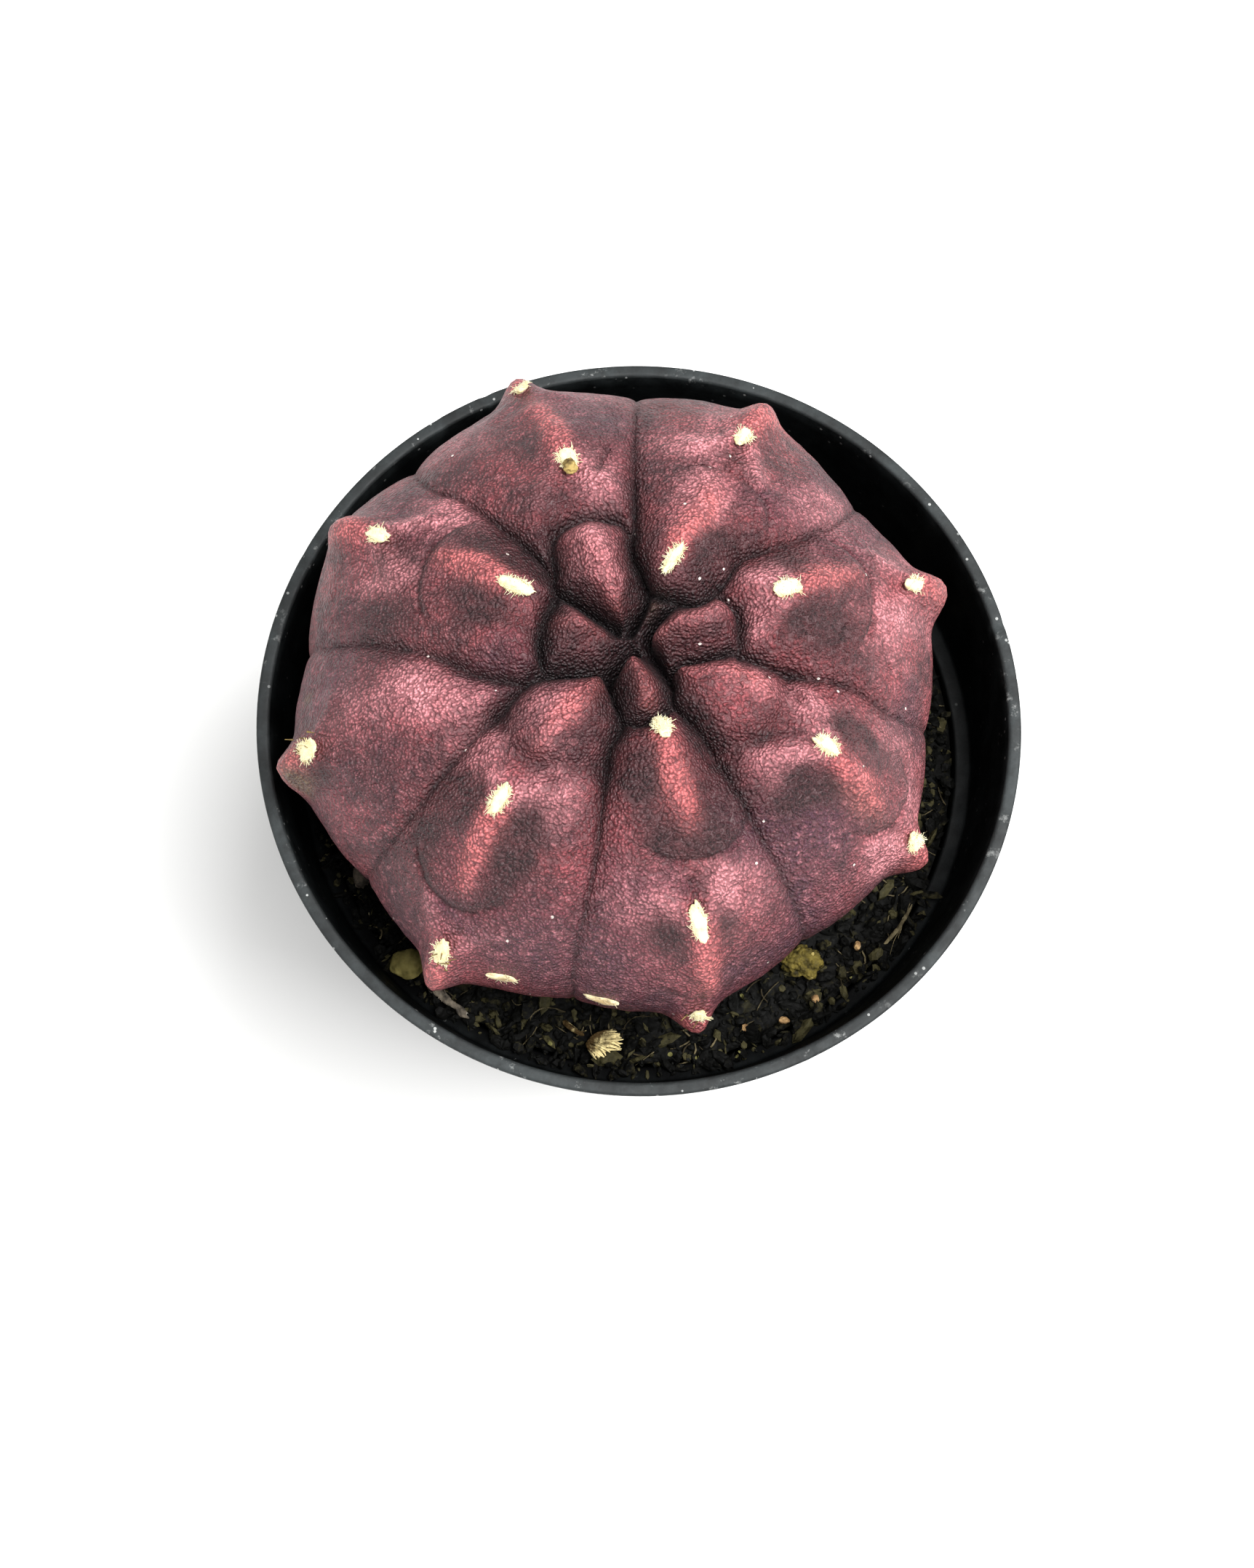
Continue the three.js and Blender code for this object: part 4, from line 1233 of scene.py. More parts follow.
@dataclass
class AreoleWool:
    """The tufts of wool, one for each packed areole, standing on the plant's fine skin."""

    body: CactusBody
    fibres: int = 260
    fibre_radius: float = 0.045
    fibre_length: float = 0.5
    sides: int = 3
    steps: int = 5

    def seat(self, node: str) -> tuple[np.ndarray, np.ndarray, np.ndarray, np.ndarray]:
        """Finds where a packed areole sits.

        Args:
            node: the areole's CAD node.

        Returns:
            Its centre on the fine skin, and three vectors: outwards with length 1, and the
            half-axes of its footprint.
        """
        corners = node_vertices(node)
        centre = corners.mean(axis=0)
        spread = np.linalg.svd(corners - centre, full_matrices=False)[2]
        outward = spread[2]
        heart = np.append(self.body.axis, self.body.soil + self.body.equator_above_soil)
        outward = outward * np.sign(outward @ (centre - heart))
        skin = self.body.skin_points
        near = skin[np.argsort(np.linalg.norm(skin - centre, axis=1))[:12]]
        centre = centre + outward * ((near - centre) @ outward).mean()
        axes = [axis * np.abs((corners - centre) @ axis).max() for axis in spread[:2]]
        return centre, outward, axes[0], axes[1]

    def tuft(self, node: str, seed: int, aged: bool) -> Surface:
        """A felted pad under a crowd of short bent fibres.

        The pad is a flattened uneven ball. Each fibre leaves a point of the footprint, leans
        away from the middle and bends over by a random amount.

        Args:
            node: the areole's CAD node.
            seed: picks the tuft.
            aged: whether it is an old one, worn flat, bald and brown in its middle.

        Returns:
            The tuft, with its height attribute.
        """
        rng = np.random.default_rng(seed)
        count = self.fibres // 6 if aged else self.fibres
        centre, outward, long_axis, short_axis = self.seat(node)
        base = np.stack([long_axis * 1.0, short_axis * 0.78, outward * 0.36])
        pad = lump(np.array([2.0, 2.0, 2.0]), 0.38, 0.6, seed)
        pad_shape = pad.vertices.copy()
        if np.linalg.det(base) < 0:
            base[1] *= -1.0
        pad.vertices = centre + pad.vertices @ base
        bald = np.hypot(*pad_shape[:, :2].T) ** 4
        pad.values = {"height": np.clip(1.2 * bald if aged else 0.35 + 0.3 * pad_shape[:, 2], 0.0, 1.0)}
        whole = pad
        angle = rng.uniform(0.0, 2.0 * np.pi, count)
        share = np.sqrt(rng.uniform(0.0, 1.0, count)) * 0.85
        roots = centre + (share * np.cos(angle))[:, None] * long_axis
        roots = roots + (share * np.sin(angle))[:, None] * short_axis
        lean = rng.normal(0.0, 1.0, (count, 3)) + (roots - centre) * 0.9
        lean -= np.outer(lean @ outward, outward)
        length = self.fibre_length * rng.uniform(0.45, 1.1, count)
        t = np.linspace(0.0, 1.0, self.steps)
        curl = rng.normal(0.0, 0.45, (count, 3))
        for root, side, reach, bend in zip(roots, lean, length, curl):
            heading = 0.45 * outward + side
            heading /= np.linalg.norm(heading)
            bent = t[:, None] * heading + (t**2)[:, None] * (bend - 0.2 * outward) * 0.6
            path = root + 0.12 * outward + reach * bent
            thin = self.fibre_radius * (1.0 - 0.6 * t)
            fibre = strand(path, thin, self.sides)
            fibre.values = {"height": np.append(np.repeat(0.45 + 0.55 * t, self.sides), [0.45, 1.0])}
            whole = whole.joined(fibre)
        return whole

    def remnants(self, dark: bpy.types.Material) -> None:
        """The dried bud at one areole, and short dark spines lying beside three others.

        Args:
            dark: the dry brown finish.
        """
        rng = np.random.default_rng(5)
        centre, outward, long_axis, _ = self.seat("areole_a_1")
        inward = -long_axis * np.sign(long_axis[:2] @ (centre[:2] - self.body.axis))
        bud = lump(np.array([2.0, 2.0, 1.3]), 0.45, 0.5, 9, rows=20)
        bud.vertices = bud.vertices * 0.62 + centre + inward * 0.8 + outward * 0.15
        bud.values = {"tone": np.clip(0.5 + fractal_noise(bud.vertices, 0.6, 4), 0.0, 1.0)}
        whole = bud
        t = np.linspace(0.0, 1.0, 8)[:, None]
        for node, count in (("areole_g_1", 7), ("areole_f_2", 6), ("areole_e_3", 3)):
            centre, outward, long_axis, short_axis = self.seat(node)
            for _ in range(count):
                root = centre + rng.uniform(-0.9, 0.9) * long_axis + rng.uniform(-1.4, 0.2) * short_axis
                heading = rng.normal(0.0, 1.0, 3) + 0.3 * outward
                path = root + outward * 0.15 + t * heading / np.linalg.norm(heading) * rng.uniform(0.5, 1.1)
                spine = strand(path, 0.09 * (1.0 - 0.7 * t[:, 0]), 5)
                spine.values = {"tone": np.full(len(spine.vertices), rng.uniform(0.0, 0.3))}
                whole = whole.joined(spine)
        settle(whole.piece("areole-remnants", dark), "old_areole")

    def build(self, wool: bpy.types.Material, old: bpy.types.Material) -> None:
        """Makes every tuft.

        Args:
            wool: the fresh wool's finish.
            old: the finish of old, worn wool.
        """
        names = sorted(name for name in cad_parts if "areole" in name)
        for seed, name in enumerate(names):
            aged = name.startswith("old_")
            piece = self.tuft(name, seed + 11, aged).piece(f"wool_{name}", old if aged else wool)
            settle(piece, "old_areole" if aged else "areole_wool", name)


# ---------------------------------------------------------------- pot, soil and litter

@dataclass
class NurseryPot:
    """The pot, turned from a rounded outline, with drain holes cut through its floor."""

    columns: int = 288
    round_steps: int = 5
    longest_step: float = 1.5
    edge_round: float = 0.35
    rim_width: float = 1.2
    wall: float = 1.1
    collar_height: float = 11.5
    collar_draft: float = 1.6
    ledge_width: float = 1.5
    wall_taper: float = 6.8
    foot_width: float = 3.2
    foot_height: float = 1.4
    floor: float = 1.2
    drain_radius: float = 2.5
    drains: int = 5
    drain_margin: float = 3.0
    nicks: tuple[float, ...] = (157.0, 19.0, 128.0, 118.5, -38.0, -61.0)
    swept_bearing: float = 5.0
    swept_width: float = 38.0

    def __post_init__(self) -> None:
        """Takes the rim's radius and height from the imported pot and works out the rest."""
        high = node_box("nursery_pot")[1]
        self.rim = high[0]
        self.top = high[2]
        self.rim_inner = self.rim - self.rim_width
        self.ledge_top = self.top - self.collar_height
        self.ledge_outer = self.rim_inner - self.collar_draft
        self.ledge_inner = self.ledge_outer - self.ledge_width
        self.foot_outer = self.ledge_inner + self.wall - self.wall_taper
        self.foot_inner = self.foot_outer - self.foot_width
        self.floor_top = self.foot_height + self.floor

    def rounded(self, corners: list[tuple[float, float, float]]) -> np.ndarray:
        """Rounds an outline's corners.

        Each corner is replaced by a curve that starts and ends its rounding away from it:
        a quadratic with the corner as its middle point. Straight stretches are cut finer.

        Args:
            corners: rows of radius, height and rounding.

        Returns:
            The outline's points.
        """
        points = np.array([c[:2] for c in corners])
        out = [points[:1]]
        t = np.linspace(0.0, 1.0, self.round_steps)[:, None]
        for i in range(1, len(points) - 1):
            before, here, after = points[i - 1 : i + 2]
            size = corners[i][2]
            start = here + (before - here) / np.linalg.norm(before - here) * size
            end = here + (after - here) / np.linalg.norm(after - here) * size
            out.append((1 - t) ** 2 * start + 2 * t * (1 - t) * here + t**2 * end)
        out.append(points[-1:])
        line = np.concatenate(out)
        step = np.linalg.norm(np.diff(line, axis=0), axis=1)
        finer = [
            np.linspace(a, b, int(s / self.longest_step) + 2)[:-1]
            for a, b, s in zip(line[:-1], line[1:], step)
        ]
        return np.concatenate([*finer, line[-1:]])

    def surface(self) -> Surface:
        """The turned pot with its wear mask, strongest along the rim, the ledge and the foot.

        Returns:
            The pot before its floor is drilled, with the masks wear and inside, the latter for painted
            shade.
        """
        r = self.edge_round
        outline = self.rounded([
            (0.0, self.floor_top, 0.0),
            (self.foot_outer - self.wall, self.floor_top, 1.0),
            (self.ledge_inner, self.ledge_top, 0.25),
            (self.ledge_outer, self.ledge_top, 0.3),
            (self.rim_inner, self.top, r),
            (self.rim, self.top, r),
            (self.ledge_outer + self.wall, self.ledge_top - self.wall, r),
            (self.ledge_inner + self.wall, self.ledge_top - self.wall, 0.2),
            (self.foot_outer, 0.0, r),
            (self.foot_inner, 0.0, 0.2),
            (self.foot_inner, self.foot_height, 0.2),
            (0.0, self.foot_height, 0.0),
        ])
        rings = turned_rings(outline[1:-1], self.columns)
        pot = closed_rings(rings, np.array([0, 0, self.floor_top]), np.array([0, 0, self.foot_height]))
        x, y, z = pot.vertices.T
        radius = np.hypot(x, y)
        near_rim = bell(np.hypot((radius - self.rim + 0.45) / 1.1, (z - self.top) / 0.6), 1.0)
        outer = (radius > self.rim_inner) & (z > self.ledge_top)
        patches = fractal_noise(pot.vertices, 9.0, 3, 4)
        scuffs = fractal_noise(pot.vertices, 2.4, 31, 4)
        lip = near_rim * (0.62 + 0.25 * patches + 0.4 * scuffs)
        ledge = bell(np.hypot((radius - self.ledge_inner - 0.5) / 0.8, (z - self.ledge_top) / 0.5), 1.0)
        nick = fractal_noise(pot.vertices, 1.3, 8, 3)
        dent = np.clip(nick - 0.45, 0.0, 1.0) * near_rim * 0.28
        turn = np.degrees(np.arctan2(y, x))
        for bearing in self.nicks:
            cut = bell((turn - bearing + 180.0) % 360.0 - 180.0, 0.5) * near_rim
            dent = dent + 0.3 * cut
            lip = lip + 1.5 * cut
        widening = (self.ledge_inner + self.wall - self.foot_outer) * z / self.ledge_top
        outside = radius > self.foot_outer - 0.1 + widening
        handled = (0.15 + 0.08 * patches + 0.12 * scuffs + 0.25 * bell(z, 2.2)) * (outside & ~outer)
        swept = bell(turn - self.swept_bearing, self.swept_width)
        wear = lip + 0.2 * ledge * swept + (0.16 + 0.06 * scuffs) * outer + handled
        # Painted shade: inside marks the plastic within the rim's inner radius, from the floor to just
        # under the rim's top; the bare ledge on the swept side gets half.
        inside = (radius < self.rim_inner + 0.1) & (z > self.floor_top - 0.1) & (z < self.top - 0.25)
        pot.vertices[:, 2] -= dent
        pot.vertices[:, :2] *= (1.0 - 0.0006 * near_rim * patches)[:, None]
        pot.values = {"wear": np.clip(wear, 0.0, 1.0), "inside": inside * (1.0 - 0.5 * ledge * swept)}
        return pot

    def build(self, finish: bpy.types.Material) -> bpy.types.Object:
        """Makes the pot and drills its floor, once in the middle and five times round it.

        Args:
            finish: the plastic.

        Returns:
            The finished pot.
        """
        pot = self.surface().piece("pot", finish)
        circle = self.foot_inner - self.drain_margin - self.drain_radius
        turns = np.arange(self.drains) / self.drains * 2.0 * np.pi
        centres = [(0.0, 0.0), *((circle * math.cos(a), circle * math.sin(a)) for a in turns)]
        high, low = self.floor_top * 2.0, -self.floor_top
        outline = np.array([[self.drain_radius, high], [self.drain_radius, low]])
        drill: Surface | None = None
        for x, y in centres:
            rod = closed_rings(turned_rings(outline, 48), np.array([0, 0, high]), np.array([0, 0, low]))
            rod.vertices = rod.vertices + np.array([x, y, 0.0])
            drill = rod if drill is None else drill.joined(rod)
        cutter = drill.piece("drill", finish)
        cut = pot.modifiers.new("drains", "BOOLEAN")
        cut.operation = "DIFFERENCE"
        cut.solver = "EXACT"
        cut.object = cutter
        bpy.context.view_layer.update()
        drilled = bpy.data.meshes.new_from_object(pot.evaluated_get(bpy.context.evaluated_depsgraph_get()))
        pot.modifiers.clear()
        pot.data = drilled
        bpy.data.objects.remove(cutter)
        return settle(pot, "pot_plastic", "nursery_pot")


@dataclass
class PottingSoil:
    """Peat: one uneven body of soil, and loose crumbs and fibres over it."""

    pot: NurseryPot
    body: CactusBody
    unevenness: float = 0.75
    under_plant: float = 7.0
    crumbs: int = 3400
    fibres: int = 150
    columns: int = 260
    rows: int = 46

    def __post_init__(self) -> None:
        """Takes the soil's extent from the packed soil."""
        low, high = node_box("potting_soil")
        self.radius = high[0]
        self.bottom = low[2]
        self.top = high[2]

    def height(self, x: np.ndarray, y: np.ndarray) -> np.ndarray:
        """The soil's height: its level, less a little, plus coarse noise and the size of fine noise.

        Args:
            x: places along X.
            y: places along Y.

        Returns:
            One height for each place.
        """
        place = np.stack([x, y, np.zeros_like(x)], axis=-1)
        rough = fractal_noise(place, 5.0, 41, 4) * self.unevenness
        return self.top - 0.3 + rough + 0.35 * np.abs(fractal_noise(place, 1.4, 57, 2))

    def surface(self) -> Surface:
        """The soil body: an uneven top, then the pot's inner wall down to the floor.

        Returns:
            The closed body.
        """
        share = np.linspace(0.04, 1.0, self.rows)
        turn = np.arange(self.columns) / self.columns * 2.0 * np.pi
        radius = share[:, None] * self.radius
        x, y = radius * np.cos(turn), radius * np.sin(turn)
        z = self.height(x.ravel(), y.ravel()).reshape(x.shape)
        z = self.top + (z - self.top) * np.minimum(1.0, (self.radius - radius) / 0.8 + 0.2)
        top = np.stack([x, y, z], axis=-1)
        foot = self.pot.foot_outer - self.pot.wall - 0.4
        down = np.linspace(0.0, 1.0, 7)[1:]
        side_radius = self.radius + (foot - self.radius) * down
        side_height = self.top - 0.6 + (self.bottom - self.top + 0.6) * down
        side = np.stack([side_radius, side_height], axis=-1)
        rings = np.concatenate([top, turned_rings(side, self.columns)])
        soil = closed_rings(rings, np.array([0, 0, self.top]), np.array([0, 0, self.bottom]))
        soil.values = {"tone": np.full(len(soil.vertices), -0.45)}
        return soil

    def scatter(self, count: int, rng: np.random.Generator,
                over_ledge: float) -> tuple[np.ndarray, np.ndarray]:
        """Places spread over the open ring of soil between the plant and the wall.

        Args:
            count: how many places.
            rng: the source of random numbers.
            over_ledge: how far they may lie out over the ledge.

        Returns:
            Their X and Y.
        """
        angle = rng.uniform(0.0, 2.0 * np.pi, count)
        share = np.sqrt(rng.uniform(0.0, 1.0, count))
        inner = self.body.radius - self.under_plant
        radius = inner + (self.radius + over_ledge - inner) * share
        return radius * np.cos(angle), radius * np.sin(angle)

    def crumb_shells(self) -> Surface:
        """Thousands of crumbs, each a small uneven ball of a few dozen faces.

        Returns:
            The crumbs in one surface.
        """
        rng = np.random.default_rng(77)
        x, y = self.scatter(self.crumbs, rng, 1.3)
        bare = (np.hypot(x, y) > self.radius - 0.2) & (x > -4.0) & (y > -12.0)
        x[bare], y[bare] = x[bare] * 0.9, y[bare] * 0.9
        polar = np.linspace(0.0, np.pi, 5)[1:-1]
        outline = np.stack([np.sin(polar), np.cos(polar)], axis=-1)
        ball = closed_rings(turned_rings(outline, 6), np.array([0, 0, 1.0]), np.array([0, 0, -1.0]))
        count = len(ball.vertices)
        size = 0.22 + 0.62 * rng.uniform(0.0, 1.0, self.crumbs) ** 2.6
        stretch = rng.uniform(0.35, 1.0, (self.crumbs, 1, 3)) * size[:, None, None]
        stretch[:, :, :1] *= rng.uniform(1.0, 2.6, (self.crumbs, 1, 1))
        shake = rng.uniform(0.72, 1.25, (self.crumbs, count, 1))
        shells = ball.vertices[None] * stretch * shake
        angle = rng.uniform(0.0, 2.0 * np.pi, self.crumbs)
        c, s = np.cos(angle)[:, None], np.sin(angle)[:, None]
        tilt = rng.normal(0.0, 0.5, (self.crumbs, 1))
        rise = shells[..., 2] + shells[..., 0] * tilt
        turned_x = shells[..., 0] * c - shells[..., 1] * s
        turned_y = shells[..., 0] * s + shells[..., 1] * c
        turned = np.stack([turned_x, turned_y, rise], axis=-1)
        on_ledge = np.where(np.hypot(x, y) > self.radius - 0.3, self.pot.ledge_top, 0.0)
        z = np.maximum(self.height(x, y), on_ledge)
        vertices = turned + np.stack([x, y, z + size * 0.35], axis=-1)[:, None]
        shift = np.arange(self.crumbs)[:, None, None] * count
        tone = np.repeat(rng.choice([-0.9, -0.9, -0.75, -0.6, -0.5, -0.3, -0.1, 0.6], self.crumbs), count)
        return Surface(vertices.reshape(-1, 3), (ball.quads[None] + shift).reshape(-1, 4),
                       (ball.triangles[None] + shift).reshape(-1, 3), {"tone": tone})

    def fibre_shells(self) -> Surface:
        """Peat fibres lying about: thin bent tubes, each a parabola laid flat.

        Returns:
            The fibres in one surface.
        """
        rng = np.random.default_rng(91)
        x, y = self.scatter(self.fibres, rng, 0.4)
        heading = rng.uniform(0.0, 2.0 * np.pi, self.fibres)
        length = rng.uniform(1.0, 4.2, self.fibres)
        t = np.linspace(-0.5, 0.5, 7)
        whole: Surface | None = None
        bends = rng.normal(0.0, 0.35, self.fibres)
        for px, py, turn, reach, bend in zip(x, y, heading, length, bends):
            along = t * reach
            across = bend * reach * (0.25 - t**2) * 2.0
            fx = px + along * math.cos(turn) - across * math.sin(turn)
            fy = py + along * math.sin(turn) + across * math.cos(turn)
            reach_out = np.hypot(fx, fy)
            keep = np.minimum(1.0, (self.radius + 0.4) / reach_out)
            fx, fy = fx * keep, fy * keep
            fz = self.height(fx, fy) + 0.25 + 0.5 * (0.25 - t**2)
            thick = np.full(len(t), rng.uniform(0.04, 0.10))
            fibre = strand(np.stack([fx, fy, fz], axis=-1), thick, 4)
            fibre.values = {"tone": np.full(len(fibre.vertices), rng.uniform(-0.5, 0.6))}
            whole = fibre if whole is None else whole.joined(fibre)
        return whole

    def build(self, soil: bpy.types.Material, fibre: bpy.types.Material) -> None:
        """Makes the soil, its crumbs and its fibres.

        Args:
            soil: the peat's finish.
            fibre: the fibres' finish.
        """
        settle(self.surface().piece("soil_bed", soil), "soil", "potting_soil")
        settle(self.crumb_shells().piece("soil_crumbs", soil, smooth=False), "soil")
        settle(self.fibre_shells().piece("soil_fibres", fibre), "root_fibre")


@dataclass
class Litter:
    """What lies on the soil: a dried flower, moss, bark, roots and grit, at or near their packed places."""

    nudges: dict[str, tuple[float, float]] = field(default_factory=lambda: {
        "dried_flower": (-0.6, -0.8),
        "moss_clump_left": (-1.2, -1.5),
        "moss_clump_right": (-1.0, 1.0),
        "bark_strip": (-1.2, -0.6),
    })
    petals: int = 60
    split_fibres: int = 5

    def nudge(self, node: str) -> np.ndarray:
        """How far a piece lies beside its packed place."""
        return np.array([*self.nudges.get(node, (0.0, 0.0)), 0.0])

    def place(self, node: str) -> tuple[np.ndarray, np.ndarray]:
        """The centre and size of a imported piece."""
        low, high = node_box(node)
        return (low + high) / 2.0 + self.nudge(node), high - low

    def flower(self, node: str, material: bpy.types.Material) -> None:
        """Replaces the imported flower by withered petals: flat curled strands from one foot.

        Args:
            node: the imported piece.
            material: its finish.
        """
        rng = np.random.default_rng(12)
        centre, size = self.place(node)
        foot = centre + np.array([-0.5, 0.25, -0.2]) * size
        t = np.linspace(0.0, 1.0, 12)[:, None]
        whole = lump(size * np.array([0.4, 0.4, 0.5]), 0.4, 0.6, 12)
        whole.vertices = whole.vertices + foot + np.array([0.2, 0.0, 0.1]) * size
        for _ in range(self.petals):
            turn, tall = rng.uniform(-1.3, 0.9), rng.uniform(0.0, 0.8)
            heading = np.array([math.cos(turn), 0.75 * math.sin(turn), tall])
            end = foot + size * heading * rng.uniform(0.75, 1.05)
            sag = np.array([*rng.normal(0.0, 0.18, 2), 0.5]) * size
            path = foot + (end - foot) * t + sag * 4.0 * t * (1.0 - t) * 0.35
            width = 0.13 * np.sin(np.pi * np.clip(t[:, 0] * 0.9 + 0.08, 0.0, 1.0)) + 0.03
            whole = whole.joined(strand(path, width, 6, 0.35))
        reach = (whole.vertices - foot) / size
        whole.values = {"tone": np.clip(1.9 * reach[:, 0] - 1.1 * reach[:, 1] - 0.75, -0.8, 1.0)}
        settle(whole.piece("dried-flower", material), "dried_flower", node)

    def clod(self, node: str, material: bpy.types.Material, slot: str, roughness: float, cell: float,
             seed: int, rows: int = 22, swell: float = 1.0, rise: float = 0.0) -> None:
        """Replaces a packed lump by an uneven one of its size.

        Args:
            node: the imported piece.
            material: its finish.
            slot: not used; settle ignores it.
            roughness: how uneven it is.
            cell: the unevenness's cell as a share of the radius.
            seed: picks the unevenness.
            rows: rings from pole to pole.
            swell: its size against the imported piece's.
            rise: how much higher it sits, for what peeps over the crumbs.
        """
        centre, size = self.place(node)
        shape = lump(size * swell, roughness, cell, seed, rows)
        shape.vertices = shape.vertices + centre + np.array([0.0, 0.0, rise])
        shape.values = {"tone": np.clip(0.5 * fractal_noise(shape.vertices, 0.7, seed) + 0.2, 0.0, 1.0)}
        settle(shape.piece(node.replace("_", "-"), material), slot, node)

    def build(self, finishes: dict[str, bpy.types.Material]) -> None:
        """Makes every piece of litter.

        Args:
            finishes: the made finishes by name.
        """
        self.flower("dried_flower", finishes["dried_flower"])
        self.clod("moss_clump_left", finishes["olive_lump"], "moss", 0.22, 0.6, 5, swell=1.15, rise=0.7)
        self.clod("moss_clump_right", finishes["moss"], "moss", 0.5, 0.4, 8)
        for seed, node in enumerate(n for n in sorted(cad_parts) if n.startswith("grit")):
            self.clod(node, finishes["grit"], "grit", 0.3, 0.9, seed + 20, rows=10)
        for seed, node in enumerate(n for n in sorted(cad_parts) if n.startswith("bark_chip")):
            self.clod(node, finishes["bark"], "bark", 0.45, 0.7, seed + 40, rows=12)
        for seed, (node, slot, flat) in enumerate((
            ("bark_strip", "bark", 0.45), ("root_fibre_right", "root_fibre", 0.8),
            ("root_fibre_back", "root_fibre", 0.8), ("dried_flower_stalk", "dried_flower", 0.7),
        )):
            self.twig(node, finishes[slot], slot, flat, seed + 60)

    def twig(self, node: str, material: bpy.types.Material, slot: str, flat: float, seed: int) -> None:
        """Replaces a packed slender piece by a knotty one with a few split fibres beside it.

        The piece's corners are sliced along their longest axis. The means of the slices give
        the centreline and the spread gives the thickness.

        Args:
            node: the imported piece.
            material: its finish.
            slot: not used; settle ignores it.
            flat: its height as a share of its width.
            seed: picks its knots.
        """
        rng = np.random.default_rng(seed)
        corners = node_vertices(node) + self.nudge(node)
        centre = corners.mean(axis=0)
        axis = np.linalg.svd(corners - centre, full_matrices=False)[2][0]
        along = (corners - centre) @ axis
        ends = np.linspace(along.min(), along.max(), 7)
        middle = [corners[np.abs(along - end) < np.ptp(along) / 8.0 + 0.05].mean(axis=0) for end in ends]
        t = np.linspace(0.0, 1.0, 40)
        knees = np.linspace(0.0, 1.0, len(middle))
        path = np.stack([np.interp(t, knees, values) for values in np.array(middle).T], axis=-1)
        across = corners - centre - np.outer(along, axis)
        width = np.median(np.linalg.norm(across, axis=1)) * 0.6
        taper = np.minimum(1.0, 6.0 * np.minimum(t, 1.0 - t)) ** 0.5
        knots = 1.0 + 0.35 * lattice_noise(path, 0.8, seed)
        whole = strand(path, width * taper * knots, 10, flat)
        flattened = np.array([1.0, 1.0, 0.4])
        for _ in range(self.split_fibres):
            first, last = sorted(rng.integers(0, 40, 2))
            last = min(39, last + 8)
            line = path[first:last] + rng.normal(0.0, width * 0.45, 3) * flattened
            stray = rng.normal(0.0, 0.35, 3) * flattened
            line = line + np.outer(np.linspace(0.0, 1.0, len(line)) ** 2, stray)
            whole = whole.joined(strand(line, np.full(len(line), width * 0.16), 5))
        dim = -0.25 if node == "dried_flower_stalk" else 0.3
        whole.values = {"tone": np.clip(dim + 0.6 * lattice_noise(whole.vertices, 0.4, seed), -0.9, 1.0)}
        settle(whole.piece(node.replace("_", "-"), material), slot, node)


# ---------------------------------------------------------------- studio

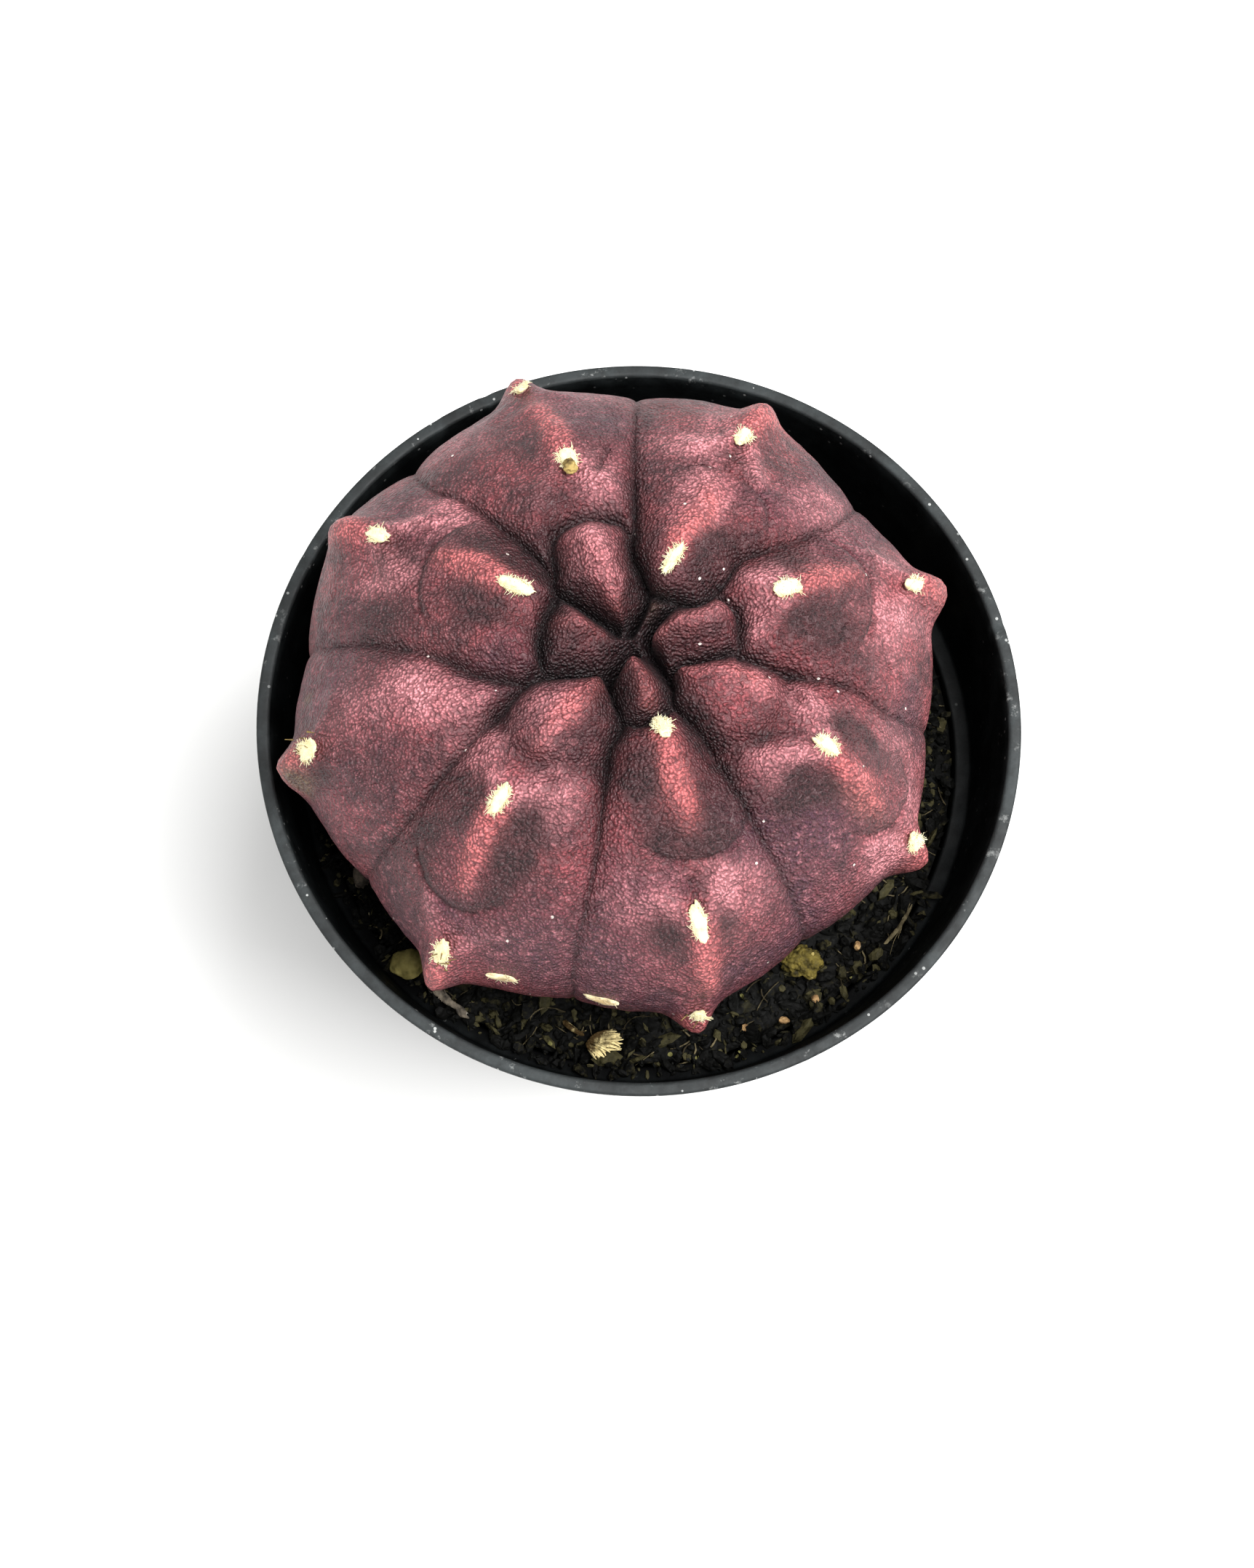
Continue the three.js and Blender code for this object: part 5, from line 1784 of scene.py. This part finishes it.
@dataclass
class Studio:
    """The pale floor, the soft lights and the camera."""

    pot: NurseryPot
    elevation: float = 72.34
    roll: float = 3.97
    distance: float = 200.0
    aim_right: float = -1.18
    aim_up: float = -6.49
    lens: float = 50.18
    sensor: float = 36.0
    floor_half: float = 1500.0
    sky: float = 0.46

    def camera(self) -> bpy.types.Object:
        """Aims the camera at the rim's centre, rolled, then a little off it in the picture's plane.

        Returns:
            The scene's camera.
        """
        lift = math.radians(self.elevation)
        back = Vector((0.0, -math.cos(lift), math.sin(lift)))
        centre = Vector((0.0, 0.0, self.pot.top))
        eye = centre + back * self.distance
        level = Vector((1.0, 0.0, 0.0))
        upright = level.cross(-back)
        turn = math.radians(self.roll)
        right = level * math.cos(turn) + upright * math.sin(turn)
        up = upright * math.cos(turn) - level * math.sin(turn)
        ahead = (centre + right * self.aim_right + up * self.aim_up - eye).normalized()
        right = (right - ahead * right.dot(ahead)).normalized()
        up = right.cross(ahead)
        data = bpy.data.cameras.new("camera")
        data.lens = self.lens
        data.sensor_width = self.sensor
        data.clip_start = 0.01
        data.clip_end = 20.0
        camera = bpy.data.objects.new("camera", data)
        turned = Matrix((right, up, -ahead)).transposed().to_4x4()
        camera.matrix_world = Matrix.Translation(eye * MM) @ turned
        bpy.context.scene.collection.objects.link(camera)
        bpy.context.scene.camera = camera
        return camera

    def light(self, name: str, place: tuple[float, float, float], size: float, power: float) -> None:
        """Adds one white square area light that looks at the pot.

        Args:
            name: its name.
            place: where it hangs, in metres.
            size: its side in metres.
            power: its power in watts.
        """
        data = bpy.data.lights.new(name, "AREA")
        data.size = size
        data.energy = power
        lamp = bpy.data.objects.new(name, data)
        lamp.location = place
        ahead = Vector((0.0, 0.0, 0.05)) - Vector(place)
        lamp.rotation_euler = ahead.to_track_quat("-Z", "Y").to_euler()
        bpy.context.scene.collection.objects.link(lamp)

    def build(self) -> None:
        """Sets the floor, the lights, the world and the view."""
        sh = Shader("floor")
        sh.link(sh.mix(sh.noise(3.0), (0.80, 0.80, 0.79), (0.86, 0.86, 0.85)), "Base Color")
        sh.shader.inputs["Roughness"].default_value = 0.9
        half = self.floor_half
        corners = np.array([[-half, -half, 0.0], [half, -half, 0.0], [half, half, 0.0], [-half, half, 0.0]])
        floor = Surface(corners, np.array([[0, 1, 2, 3]])).piece("floor", sh.material)
        self.light("key", (0.30, -0.02, 0.70), 0.5, 11.5)
        self.light("fill", (-0.55, -0.35, 0.60), 0.8, 4.0)
        world = bpy.data.worlds.new("studio")
        world.use_nodes = True
        background = world.node_tree.nodes["Background"]
        background.inputs[0].default_value = (1.0, 1.0, 1.0, 1.0)
        background.inputs[1].default_value = self.sky
        bpy.context.scene.world = world
        bpy.context.scene.view_settings.view_transform = "Standard"
        bpy.context.scene.view_settings.look = "None"
        self.camera()


def main() -> None:
    """Builds the object piece by piece."""
    logging.basicConfig(level=logging.INFO, format="%(name)s: %(message)s")
    grain, specks = grain_group(), speckle_group()
    pot = NurseryPot()
    Studio(pot).build()
    pot.build(PlasticFinish().material(specks))
    body = CactusBody()
    body.build(SkinFinish().material(grain, specks))
    tufts = AreoleWool(body)
    tufts.build(
        WoolFinish().material(),
        WoolFinish("old_wool", (0.72, 0.64, 0.40), (0.26, 0.18, 0.08)).material(),
    )
    finishes = [
        EarthFinish("soil", (0.0012, 0.0012, 0.0008), (0.056, 0.049, 0.021), (0.16, 0.15, 0.05),
                    cells_to_metre=800.0, fleck_share=0.03),
        EarthFinish("root_fibre", (0.030, 0.023, 0.012), (0.16, 0.13, 0.07), (0.3, 0.26, 0.16),
                    cells_to_metre=1200.0),
        EarthFinish("dried_flower", (0.060, 0.036, 0.012), (0.90, 0.74, 0.36), (0.60, 0.46, 0.20),
                    cells_to_metre=1100.0, fleck_share=0.15),
        EarthFinish("moss", (0.018, 0.014, 0.003), (0.15, 0.115, 0.024), (0.34, 0.27, 0.09),
                    cells_to_metre=1300.0),
        EarthFinish("bud", (0.050, 0.030, 0.012), (0.36, 0.26, 0.09), (0.50, 0.40, 0.18)),
        EarthFinish("olive_lump", (0.10, 0.085, 0.022), (0.32, 0.27, 0.09), (0.42, 0.36, 0.15),
                    cells_to_metre=500.0),
        EarthFinish("bark", (0.030, 0.026, 0.022), (0.24, 0.20, 0.15), (0.50, 0.46, 0.38),
                    cells_to_metre=1000.0),
        EarthFinish("grit", (0.16, 0.09, 0.04), (0.46, 0.29, 0.13), (0.6, 0.5, 0.35),
                    cells_to_metre=1400.0),
    ]
    made = {finish.name: finish.material(grain, specks) for finish in finishes}
    tufts.remnants(made["bud"])
    PottingSoil(pot, body).build(made["soil"], made["root_fibre"])
    Litter().build(made)


if __name__ == "__main__":
    main()
